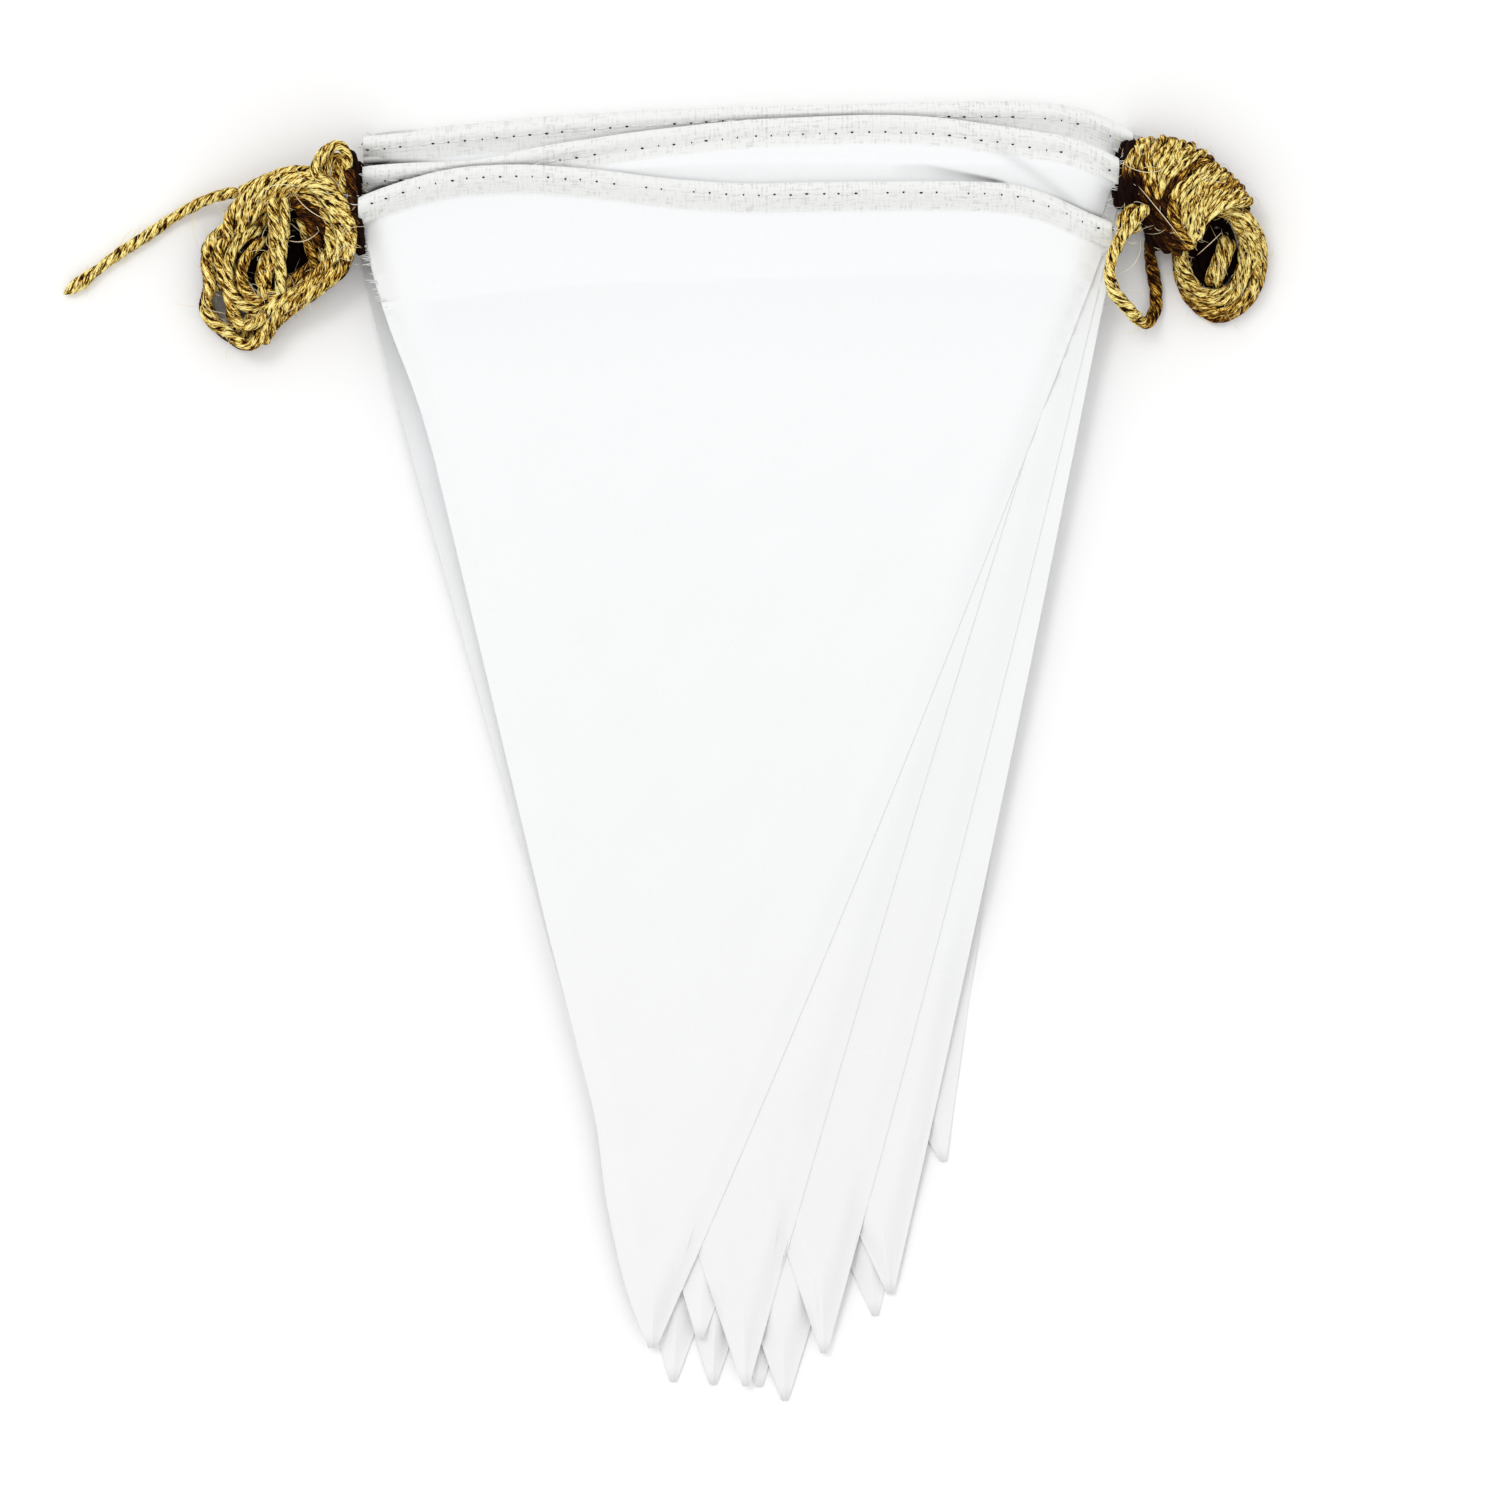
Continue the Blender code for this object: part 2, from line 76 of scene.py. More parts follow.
# %% Camera
PHOTO_PIXELS = 1485
PIXEL = 0.27
FRAME_WIDTH = PHOTO_PIXELS * PIXEL
CAMERA_HEIGHT = 2600.0
CLOTH_HEIGHT = 10.0
SENSOR_WIDTH = 36.0
FARTHEST_SEEN = 20.0

camera_data = bpy.data.cameras.new("camera")
camera_data.sensor_width = SENSOR_WIDTH
camera_data.lens = SENSOR_WIDTH * (CAMERA_HEIGHT - CLOTH_HEIGHT) / FRAME_WIDTH
camera_data.dof.use_dof = False
camera_data.clip_end = FARTHEST_SEEN
camera = bpy.data.objects.new("camera", camera_data)
camera.location = (0.0, 0.0, CAMERA_HEIGHT * MM)
bpy.context.scene.collection.objects.link(camera)
bpy.context.scene.camera = camera
bpy.context.scene.view_settings.view_transform = "Standard"
print("lens:", round(camera_data.lens, 1), "mm")


def photo(x, y, z=0.0):
    """A place given by its pixel in the photograph and its height in mm, as millimetres."""
    middle = PHOTO_PIXELS / 2.0
    return ((x - middle) * PIXEL, (middle - y) * PIXEL, z)


def traced(*places):
    """A line traced in the photograph, each place as photo takes it, as points in millimetres."""
    return np.array([photo(*place) for place in places])


# %% [markdown]
# ## Writing materials as sums
#
# A node tree is easier to read as an expression. `Value` wraps one socket, and each operator on it adds
# one Math node.

# %% Values
class Value:
    """A number in a node tree. Operators on it add Math nodes."""

    def __init__(self, tree, socket):
        self.tree = tree
        self.socket = socket

    def math(self, operation, *others):
        node = self.tree.nodes.new("ShaderNodeMath")
        node.operation = operation
        for place, item in enumerate((self,) + others):
            if isinstance(item, Value):
                self.tree.links.new(item.socket, node.inputs[place])
            else:
                node.inputs[place].default_value = item
        return Value(self.tree, node.outputs[0])

    def __add__(self, other):
        return self.math("ADD", other)

    def __mul__(self, other):
        return self.math("MULTIPLY", other)

    def __sub__(self, other):
        return self.math("SUBTRACT", other)

    def __rsub__(self, other):
        return (self * -1.0) + other

    __radd__ = __add__
    __rmul__ = __mul__

    def clamp(self):
        return self.math("MAXIMUM", 0.0).math("MINIMUM", 1.0)


# %% [markdown]
# `Finish` makes the material and adds every other node through one method, `node`. The few patterns that
# cloth and twine share are short methods on top of it.

# %% Finishes
class Finish:
    """A material whose nodes are added one call at a time."""

    def __init__(self, name):
        self.material = bpy.data.materials.new(name)
        self.material.use_nodes = True
        self.tree = self.material.node_tree
        self.shader = self.tree.nodes["Principled BSDF"]

    def node(self, kind, settings, output, **sockets):
        """Add a node: its type, its settings, the output wanted, and values or links for its inputs."""
        node = self.tree.nodes.new(kind)
        for name, value in settings.items():
            setattr(node, name, value)
        for name, value in sockets.items():
            self.join(node.inputs[int(name[1:]) if name[1:].isdigit() else name.replace("_", " ")], value)
        return Value(self.tree, node.outputs[output])

    def join(self, socket, value):
        if isinstance(value, Value):
            self.tree.links.new(value.socket, socket)
        else:
            socket.default_value = value

    def set(self, name, value):
        """Set or link one socket of the material's own shader."""
        self.join(self.shader.inputs[name], value)

    def flat_place(self):
        """The UV map as a place, and its u and v as numbers."""
        uv = self.node("ShaderNodeUVMap", {"uv_map": "UVMap"}, 0)
        u = self.node("ShaderNodeSeparateXYZ", {}, 0, Vector=uv)
        return uv, u, Value(self.tree, u.socket.node.outputs[1])

    def place(self, x, y, z=0.0):
        """A place in a pattern, put together from three numbers."""
        return self.node("ShaderNodeCombineXYZ", {}, 0, X=x, Y=y, Z=z)

    def mark(self, name):
        """A number that the mesh carries at each of its points."""
        return self.node("ShaderNodeAttribute", {"attribute_name": name}, "Fac")

    def blend(self, factor, first, second):
        """A colour between two: factor 0 gives the first and 1 the second."""
        return self.node("ShaderNodeMix", {"data_type": "RGBA"}, 2, i0=factor, i6=first, i7=second)

    def ramp(self, factor, stops):
        """A colour from a row of (place, colour) stops."""
        picked = self.node("ShaderNodeValToRGB", {}, "Color", Fac=factor)
        elements = picked.socket.node.color_ramp.elements
        while len(elements) < len(stops):
            elements.new(0.5)
        for element, (place, colour) in zip(elements, stops):
            element.position = place
            element.color = colour + (1.0,)
        return picked

    def noise(self, place, scale, detail=2.0, roughness=0.5):
        """Soft random patches round 0.5."""
        return self.node("ShaderNodeTexNoise", {"noise_dimensions": "3D"}, "Fac", Vector=place,
                         Scale=scale, Detail=detail, Roughness=roughness)

    def bump(self, height, distance, strength):
        """A normal that stands for a height of at most distance, in metres."""
        return self.node("ShaderNodeBump", {}, "Normal", Height=height, Distance=distance,
                         Strength=strength)


# %% [markdown]
# ## Jute finish
#
# Jute twine is three plies of coarse golden fibre twisted together. The plies' crowns are straw yellow,
# the grooves between them get a dark brown painted shade, and fine streaks follow the fibres. The mesh's
# UV map runs once round the twine in u and along it in v, so the streaks can follow the twist. A point
# attribute, `light`, paints shade that darkens the strands that lie deep inside a hank.

# %% Jute finish
PLIES = 3
JUTE_TONES = ((0.0, (0.004, 0.001, 0.001)), (0.16, (0.018, 0.004, 0.001)), (0.36, (0.105, 0.033, 0.003)),
              (0.56, (0.51, 0.235, 0.020)), (0.76, (1.0, 0.67, 0.10)), (1.0, (1.0, 0.92, 0.38)))
FIBRE_CONTRAST = 6.8
PATCH_CONTRAST = 3.6
MIDDLE_TONE = 0.76
GROOVE_PAINTED_SHADE = 1.1


def jute_finish():
    """Jute: a tone read off the row of jute tones.

    The tone is a middle one, plus streaks along the fibres, plus patches, less painted shade in the groove
    between two plies, and all of it times the light mark. The groove is 1 - |cos(plies pi u)|, sharpened.
    """
    finish = Finish("jute_twine")
    _, round_twine, along = finish.flat_place()
    groove = 1.0 - (round_twine * (PLIES * np.pi)).math("COSINE").math("ABSOLUTE")
    groove = (groove * 2.0 - 0.85).clamp()
    fibres = finish.noise(finish.place(round_twine * 17.0, along * 0.32), 1.5, 4.0, 0.75)
    patches = finish.noise(finish.place(round_twine * 4.0, along * 0.22, 5.0), 1.6, 2.0, 0.6)
    streaks = (fibres - 0.5) * FIBRE_CONTRAST + (patches - 0.5) * PATCH_CONTRAST
    # Painted shade: the grooves between the plies are darkened in the base colour.
    tone = streaks + MIDDLE_TONE - groove * (patches * GROOVE_PAINTED_SHADE)
    finish.set("Base Color", finish.ramp((tone * finish.mark("light")).clamp(), JUTE_TONES))
    finish.set("Roughness", 0.85)
    finish.set("Specular IOR Level", 0.08)
    finish.set("Normal", finish.bump(fibres - groove * 0.6, 0.0005, 0.55))
    return finish.material


def plain_finish(name, colour, roughness=0.9, specular=0.1):
    """One even, matt colour."""
    finish = Finish(name)
    finish.set("Base Color", colour + (1.0,))
    finish.set("Roughness", roughness)
    finish.set("Specular IOR Level", specular)
    return finish.material


JUTE = jute_finish()
FIBRE = plain_finish("jute_fibre", (0.95, 0.83, 0.55))
WHITE_THREAD = plain_finish("white_thread", (0.86, 0.86, 0.85))
# Painted shade: the dark colour of a needle hole stands for the shade inside it.
NEEDLE_HOLE_SHADE = plain_finish("needle_hole", (0.02, 0.017, 0.014))
print("materials:", [item.name for item in (JUTE, FIBRE, WHITE_THREAD, NEEDLE_HOLE_SHADE)])

# %% [markdown]
# ## Paths
#
# Twine follows a path: a smooth curve through a few points, read off at even steps, so that the twist
# and the fibres come out even too.

# %% Smooth routes
CURVE_SAMPLES = 12


def smooth_step(value):
    """An eased step: 3v^2 - 2v^3, held at 0 below 0 and at 1 above 1."""
    value = np.clip(value, 0.0, 1.0)
    return value * value * (3.0 - 2.0 * value)


def smooth_route(route, step):
    """Points at even steps on the Catmull-Rom curve through a route.

    Between two points b and c, with a before and d after them, the curve is half of
    2b + (c - a)t + (2a - 5b + 4c - d)t^2 + (3b - a - 3c + d)t^3. Beyond its first and last points, the
    route is taken to go straight on.
    """
    knots = np.array(route, dtype=float)
    padded = np.vstack((2.0 * knots[0] - knots[1], knots, 2.0 * knots[-1] - knots[-2]))
    t = np.linspace(0.0, 1.0, CURVE_SAMPLES, endpoint=False)[None, :, None]
    a, b, c, d = (padded[start:len(padded) - 3 + start, None, :] for start in range(4))
    fine = 0.5 * (2.0 * b + (c - a) * t + (2.0 * a - 5.0 * b + 4.0 * c - d) * t ** 2
                  + (3.0 * b - a - 3.0 * c + d) * t ** 3)
    fine = np.vstack((fine.reshape(-1, 3), knots[-1:]))
    length = np.concatenate(([0.0], np.cumsum(np.linalg.norm(np.diff(fine, axis=0), axis=1))))
    stations = np.linspace(0.0, length[-1], max(int(round(length[-1] / step)), 2) + 1)
    return np.column_stack([np.interp(stations, length, fine[:, axis]) for axis in range(3)])


def path_length(path):
    """The sum of the lengths of a path's steps."""
    return float(np.linalg.norm(np.diff(path, axis=0), axis=1).sum())


def path_frame(paths, nearly_up):
    """Unit vectors beside and above each point of one path, or of a stack of paths.

    Beside is the path's direction crossed with a vector that points nearly up, and above is beside
    crossed with the direction.
    """
    tangent = np.gradient(paths, axis=-2)
    tangent /= np.linalg.norm(tangent, axis=-1)[..., None]
    beside = np.cross(tangent, nearly_up)
    beside /= np.linalg.norm(beside, axis=-1)[..., None]
    return beside, np.cross(beside, tangent)


Surface = namedtuple("Surface", "points faces uv marks")


def grid_faces(rows, columns, wrap):
    """Quads between the rows and columns of a grid of points; wrap joins the last column to the first."""
    index = np.arange(rows * columns).reshape(rows, columns)
    beside = np.roll(index, -1, axis=1)
    if not wrap:
        index, beside = index[:, :-1], beside[:, :-1]
    return np.stack((index[:-1], beside[:-1], beside[1:], index[1:]), axis=-1).reshape(-1, 4)


# %% [markdown]
# ## Carrying a section along a path
#
# All the twine is one shape: a section with three soft lobes that turns as it goes along a path, one
# full turn every 14 mm. A machine twists the plies evenly, but the yarn is uneven, so the twine swells
# and its twist wobbles a little.

# %% Twine surface
TWINE_RADIUS = 1.6
TWINE_LAY = 14.0
TWINE_SIDES = 18
TWINE_STEP = 0.8
TWINE_UP = (0.08, 0.05, 1.0)
TABLE_GAP = 0.02
CROWN = 0.17
SWELLS = ((0.06, 4.1, 2.0), (0.04, 1.9, 1.0))
WOBBLES = ((0.7, 11.0, 1.0), (0.4, 5.3, 3.0))


def slow_waves(along, waves, phase):
    """The sum of height sin(s / length + share phase) over (height, length, share) waves."""
    return sum(height * np.sin(along / length + share * phase) for height, length, share in waves)


def twine_surface(path, light, radius=TWINE_RADIUS, sides=TWINE_SIDES, phase=0.0):
    """A twisted three-lobed section carried along a path.

    At angle a round the twine and distance s along it, the radius is R (0.83 + 0.17 |cos 1.5a|), a
    little thicker and thinner in places. The section is turned by 2 pi s / lay and a slow wobble, both
    ends round off, and where the twine lies on the table its underside is pressed flat.
    """
    steps = np.linalg.norm(np.diff(path, axis=0), axis=1)
    along = np.concatenate(([0.0], np.cumsum(steps)))
    beside, above = path_frame(path, TWINE_UP)
    angle = np.linspace(0.0, 2.0 * np.pi, sides, endpoint=False)
    section = 1.0 - CROWN + CROWN * np.abs(np.cos(0.5 * PLIES * angle))
    thickness = radius * (1.0 + slow_waves(along, SWELLS, phase))
    from_end = np.minimum(along, along[-1] - along)
    closing = np.sqrt(np.clip(from_end / np.mean(radius), 0.0, 1.0))
    twist = 2.0 * np.pi * along / TWINE_LAY + slow_waves(along, WOBBLES, phase)
    turned = angle[None, :] + phase + twist[:, None]
    reach = section[None, :] * (closing * thickness)[:, None]
    points = (path[:, None, :] + (reach * np.cos(turned))[..., None] * beside[:, None, :]
              + (reach * np.sin(turned))[..., None] * above[:, None, :])
    points[..., 2] = np.maximum(points[..., 2], TABLE_GAP)
    count = len(path)
    faces = grid_faces(count, sides, True)
    u = np.broadcast_to(np.arange(sides) / sides, (count, sides))
    v = np.broadcast_to(along[:, None], (count, sides))
    uv = np.stack((u, v), axis=-1).reshape(-1, 2)
    light = np.broadcast_to(np.asarray(light, dtype=float).reshape(-1, 1), (count, sides)).reshape(-1, 1)
    return Surface(points.reshape(-1, 3), faces, uv, light)


# %% [markdown]
# ## From a surface to a piece
#
# A surface is only arrays so far. One function puts it into a mesh, with its UV map and its marks, and
# makes the object, which stays at the origin with its place in its mesh.

# %% Making a piece
def joined(surfaces):
    """Several surfaces as one, the faces renumbered."""
    start = np.concatenate(([0], np.cumsum([len(item.points) for item in surfaces])[:-1]))
    return Surface(np.vstack([item.points for item in surfaces]),
                   np.vstack([item.faces + first for item, first in zip(surfaces, start)]),
                   np.vstack([item.uv for item in surfaces]),
                   np.vstack([item.marks for item in surfaces]))


def make_piece(name, surface, material, marks=("light",)):
    """Put a surface, in millimetres, into a mesh object that rides on the root body.

    A quad whose corners lie on both sides of the line where u jumps from 1 back to 0 has its low
    corners moved up by 1. Points at the same place are merged, which closes the ends.
    """
    data = bpy.data.meshes.new(name)
    data.from_pydata((surface.points * MM).tolist(), [], surface.faces.tolist())
    corners = surface.uv[surface.faces]
    jumps = np.ptp(corners[:, :, 0], axis=1) > 0.5
    corners[jumps, :, 0] += corners[jumps, :, 0] < 0.5
    data.uv_layers.new(name="UVMap").data.foreach_set("uv", corners.astype(np.float32).reshape(-1))
    for mark, values in zip(marks, surface.marks.T):
        data.attributes.new(mark, "FLOAT", "POINT").data.foreach_set("value", values.astype(np.float32))
    mesh = bmesh.new()
    mesh.from_mesh(data)
    bmesh.ops.remove_doubles(mesh, verts=mesh.verts, dist=1e-7)
    mesh.to_mesh(data)
    mesh.free()
    data.polygons.foreach_set("use_smooth", np.full(len(data.polygons), True))
    data.materials.append(material)
    piece = bpy.data.objects.new(name, data)
    bpy.context.scene.collection.objects.link(piece)
    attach(piece, ROOT)
    print(name, len(data.vertices), "points,", len(data.polygons), "faces")
    return piece


# %% [markdown]
# Loose fibres, stitches and frayed threads are all the same small shape: a rod with few sides that
# tapers to nothing at both ends and may bend.

# %% Rods
ROD_UP = (0.11, 0.07, 1.0)


def rods(starts, ends, bends, radius, rings, sides):
    """Many thin rods at once.

    At share t along it, a rod is at start (1 - t) + end t + 4 bend t (1 - t), and its radius there is
    R sin(pi t)^0.4.
    """
    starts, ends, bends = (np.asarray(item, dtype=float) for item in (starts, ends, bends))
    t = np.linspace(0.0, 1.0, rings)[None, :, None]
    path = starts[:, None] * (1.0 - t) + ends[:, None] * t + bends[:, None] * 4.0 * t * (1.0 - t)
    beside, above = path_frame(path, ROD_UP)
    turn = np.arange(sides) * 2.0 * np.pi / sides + 0.5 * np.pi
    reach = radius * np.sin(np.pi * t[..., None]).clip(0.0, 1.0) ** 0.4
    points = (path[:, :, None] + reach * np.cos(turn)[:, None] * beside[:, :, None]
              + reach * np.sin(turn)[:, None] * above[:, :, None])
    first = np.arange(len(starts))[:, None, None] * rings * sides
    faces = (grid_faces(rings, sides, True)[None] + first).reshape(-1, 4)
    count = len(starts) * rings * sides
    return Surface(points.reshape(-1, 3), faces, np.zeros((count, 2)), np.ones((count, 1)))


# %% [markdown]
# ## The two free pieces of twine
#
# At the left, the twine's end leaves the hank and lies on the table, cut off and a little frayed. At the
# right, a small loop of slack hangs out between the cloth and the hank. Both are made as free pieces of
# twine, and their length along the path is printed. Their routes, in mm, are the ones that the solids follow.

# %% Loose end and bight
LOOSE_END_ROUTE = (
    (-135.8, 148.9, 9.3), (-143.0, 147.4, 6.4), (-148.5, 145.2, 3.6), (-154.5, 141.9, 2.0),
    (-161.0, 137.5, 1.85), (-168.5, 132.6, 1.85), (-174.5, 128.2, 1.85), (-180.0, 124.0, 1.85),
    (-184.0, 121.4, 1.85))
BIGHT_ROUTE = (
    (109.3, 144.6, 18.3), (104.4, 139.6, 20.0), (100.4, 133.0, 20.2), (98.8, 127.0, 19.7),
    (100.0, 121.4, 19.2), (103.6, 117.2, 17.0), (106.9, 114.2, 10.6), (109.6, 113.6, 4.4),
    (111.8, 117.4, 1.95), (111.9, 123.0, 1.85), (110.8, 129.0, 2.4), (110.2, 134.0, 4.4),
    (111.2, 139.1, 7.3))
BIGHT_RADIUS = 1.8
SWELLING = 0.22
SWELLING_FROM_END = 6.0
SWELLING_LENGTH = 3.0
TAPER = 0.45
TAPER_LENGTH = 4.0


def through(corners, places):
    """A line through (place, value) corners, read off at any places."""
    return np.interp(places, *zip(*corners))


def make_cord(name, node, route, full_radius, far_end, shades):
    """A free piece of twine along a route in mm; its length is printed.

    A bare end is loosened: it swells by a fifth and then tapers to about half. Shades are (share of the
    length, light) pairs.
    """
    path = smooth_route(route, TWINE_STEP)
    share = np.linspace(0.0, 1.0, len(path))
    remaining = (1.0 - share) * path_length(path)
    swelling = 1.0 + SWELLING * np.exp(-((remaining - SWELLING_FROM_END) / SWELLING_LENGTH) ** 2)
    swelling = swelling - TAPER * smooth_step(1.0 - remaining / TAPER_LENGTH)
    radius = full_radius * (swelling if far_end == "bare" else 1.0)
    piece = make_piece(name, twine_surface(path, through(shades, share), radius), JUTE)
    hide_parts(node)
    print(name, "length", round(path_length(path), 1), "mm")
    return piece


loose_end = make_cord("loose_end", "twine_loose_end", LOOSE_END_ROUTE, TWINE_RADIUS, "bare",
                      ((0.0, 0.9), (1.0, 1.0)))
bight = make_cord("bight", "twine_bight", BIGHT_ROUTE, BIGHT_RADIUS, "object",
                  ((0.0, 0.98), (0.50, 0.94), (0.60, 0.50), (1.0, 0.26)))

# %% [markdown]
# ## The left hank
#
# The spare twine is wound in long loops, piled several deep and tucked together where it meets the
# cloth. It is one long path here too: the same three loops, each a little inside the other, are
# followed again and again at a greater height, and wander a little on every turn.

# %% Left hank's outlines
LEFT_OUTER = traced(
    (233, 217), (268, 186), (294, 176), (319, 181), (337, 199), (348, 226), (349, 252), (338, 273),
    (311, 293), (281, 315), (258, 337), (243, 342), (226, 331), (212, 322), (206, 305), (208, 284),
    (206, 262), (208, 247), (219, 232))
LEFT_MIDDLE = traced(
    (240, 226), (272, 198), (296, 188), (314, 192), (328, 207), (337, 230), (338, 249), (329, 264),
    (304, 283), (276, 304), (256, 322), (247, 327), (238, 323), (232, 312), (230, 298), (226, 284),
    (219, 268), (219, 251), (228, 238))
LEFT_INNER = traced(
    (250, 233), (279, 209), (297, 200), (309, 203), (318, 216), (326, 234), (327, 246), (320, 256),
    (300, 271), (274, 291), (258, 303), (250, 305), (243, 300), (237, 292), (233, 282), (231, 272),
    (231, 260), (234, 249), (241, 240))
LEFT_LOW_END, LEFT_HIGH_END = traced((215, 320), (345, 190))
print("left outlines:", [round(path_length(loop)) for loop in (LEFT_OUTER, LEFT_MIDDLE, LEFT_INNER)])

# %% [markdown]
# A turn is one of the three outlines at its own height. The pile is higher at the hank's upper end,
# next to the cloth, and the light mark falls with the depth in the pile.

# %% Left hank's turns
LEFT_LIFT = 7.0
LEFT_LIGHT = ((1.8, 0.42), (5.0, 0.78), (8.0, 1.0))
WANDER = 0.45
UPWARD_SHARE = 0.7
LIGHT_STEP = 18.0
BRIGHTEST = 1.1
DARKEST = 0.55


def rise(points, low, high):
    """How far points lie from the low end towards the high end of a hank, 0 to 1."""
    axis = (high - low)[:2]
    return np.clip((points[:, :2] - low[:2]) @ axis / (axis @ axis), 0.0, 1.0)


def wound(turns, wander, low, high, lift, source):
    """One path through turns, each a (loop, height) pair, wandering smoothly from turn to turn.

    Every point is moved by a random step of about the size of wander, and raised by lift times its
    place from the low end to the high end.
    """
    route = []
    for loop, height in turns:
        points = loop.copy()
        points += source.normal(0.0, wander, points.shape) * (1.0, 1.0, UPWARD_SHARE)
        points[:, 2] += height + lift * rise(points, low, high)
        route.append(points)
    return np.vstack(route)


def above_table(path):
    """A path kept at least the twine's radius above the table."""
    return np.column_stack((path[:, :2], np.maximum(path[:, 2], TWINE_RADIUS)))


def uneven(path, darkest, source):
    """A slow random change of light along a path: a new value every 18 mm, from darkest to 1.1."""
    count = max(int(path_length(path) / LIGHT_STEP), 2)
    values = source.uniform(darkest, BRIGHTEST, count)
    return np.interp(np.linspace(0.0, count - 1.0, len(path)), np.arange(count), values)


LEFT_TURNS = ((LEFT_OUTER, 2.0), (LEFT_MIDDLE, 2.4), (LEFT_INNER, 2.2), (LEFT_OUTER, 5.2),
              (LEFT_MIDDLE, 5.6), (LEFT_INNER, 5.2), (LEFT_MIDDLE, 8.6), (LEFT_OUTER, 8.0))
left_source = np.random.default_rng(5)
left_route = wound(LEFT_TURNS, WANDER, LEFT_LOW_END, LEFT_HIGH_END, LEFT_LIFT, left_source)
left_path = above_table(smooth_route(left_route, TWINE_STEP))
left_height = left_path[:, 2] - LEFT_LIFT * rise(left_path, LEFT_LOW_END, LEFT_HIGH_END)
left_light = through(LEFT_LIGHT, left_height) * uneven(left_path, DARKEST, left_source)
print("left loops:", round(path_length(left_path)), "mm of twine")

# %% [markdown]
# Some strands of the left hank lie across its loops: two beside each other down the middle, an oval of
# two strands round their foot, an ear of twine that stands out at the top, and ones below them darkened
# with painted shade. Each is given as pixels of the photograph and heights in mm.

# %% Left hank's crossing strands
Strand = namedtuple("Strand", "light route")
LEFT_STRANDS = (
    Strand(0.95, ((274, 199, 13), (274, 207, 15.2), (275, 226, 15.6), (275, 246, 14), (272, 262, 12.4),
                  (267, 279, 11), (263, 293, 10), (259, 306, 8))),
    Strand(1.05, ((287, 198, 13), (286, 207, 15.4), (286, 226, 15.8), (283, 246, 14.6), (281, 262, 12.8),
                  (281, 279, 11.2), (280, 295, 10), (274, 306, 8))),
    Strand(1.0, ((270, 250, 11), (264, 264, 11), (261, 278, 10.6), (266, 291, 10), (278, 297, 10),
                 (292, 294, 9.6))),
    Strand(0.95, ((268, 238, 9), (256, 247, 11), (246, 260, 12), (242, 274, 12), (245, 289, 11.4),
                  (255, 300, 10.8), (270, 304, 10.6), (286, 300, 10.4), (304, 289, 11), (322, 278, 12),
                  (338, 268, 12))),
    Strand(0.95, ((262, 228, 9), (246, 236, 11.4), (235, 248, 12.2), (229, 263, 12), (229, 280, 11.2),
                  (234, 295, 10.2), (245, 306, 9.4), (259, 312, 9), (275, 310, 9.2), (293, 300, 10),
                  (315, 288, 11), (334, 279, 11.4))),
    Strand(0.9, ((236, 219, 10), (224, 228, 9.6), (213, 238, 8.6), (207, 250, 7.6), (210, 266, 7),
                 (216, 280, 6.6), (217, 292, 5.6))),
    Strand(0.75, ((300, 214, 11), (304, 226, 12), (308, 240, 12), (312, 256, 11.4), (316, 270, 10))),
    # Painted shade: strands with a low light lie under the others and are darkened.
    Strand(0.55, ((240, 206, 10), (256, 199, 12), (275, 195, 13), (294, 197, 13.6), (311, 206, 13.6),
                  (325, 218, 13))),
    Strand(0.45, ((246, 214, 8), (262, 205, 10), (282, 203, 11), (300, 207, 11.6), (318, 222, 11.4))),
    Strand(1.0, ((331, 189, 16.5), (318, 178, 17.2), (318, 166, 17.4), (326, 154, 17.4), (337, 147, 17.4),
                 (346, 152, 17.2), (348, 165, 17), (345, 179, 16.6), (347, 196, 15.6))),
    Strand(0.85, ((335, 190, 14.6), (326, 178, 15.2), (327, 168, 15.4), (334, 159, 15.4), (340, 161, 15.2),
                  (338, 172, 15), (337, 186, 14.4))),
    Strand(1.0, ((262, 344, 3.4), (268, 332, 5.6), (280, 318, 7.4), (300, 303, 8.6), (322, 287, 10),
                 (341, 270, 11.4), (350, 250, 13), (349, 226, 14.6))),
    Strand(1.0, ((236, 339, 3.6), (246, 330, 5.8), (254, 318, 7.6), (262, 306, 8.4), (276, 297, 8.2))),
    Strand(0.85, ((206, 300, 4.4), (205, 312, 4.6), (212, 323, 5), (226, 328, 5.8), (241, 325, 6.8),
                  (251, 315, 7.4), (250, 303, 7))),
    Strand(1.0, ((228, 214, 9), (244, 198, 11), (262, 184, 12.6), (284, 174, 14), (306, 172, 15.4),
                 (326, 181, 16.6), (341, 199, 16.8), (350, 221, 16.2), (352, 245, 14.6), (344, 264, 13))),
    Strand(1.0, ((236, 222, 10.6), (252, 205, 12.6), (271, 191, 14.2), (290, 184, 15.6), (308, 184, 16.8),
                 (322, 193, 17.4), (333, 209, 17.2), (340, 229, 16.2), (341, 249, 14.8), (331, 263, 13.4))),
    Strand(1.0, ((237, 193, 8.4), (250, 187, 11), (268, 180, 13), (290, 177, 15), (312, 180, 16.4),
                 (329, 190, 17.2), (342, 207, 17), (349, 228, 15.8), (348, 250, 14.2))),
    Strand(0.35, ((290, 202, 15.2), (306, 206, 16.2), (318, 218, 16.2), (326, 236, 15.2))),
    Strand(0.30, ((296, 210, 14.6), (308, 218, 15), (316, 232, 14.4), (320, 250, 13.4))),
    Strand(0.95, ((300, 192, 14.6), (312, 200, 15.6), (322, 213, 15.8), (329, 231, 15), (331, 249, 13.8),
                  (322, 263, 12.4))),
)
print("crossing strands:", len(LEFT_STRANDS))

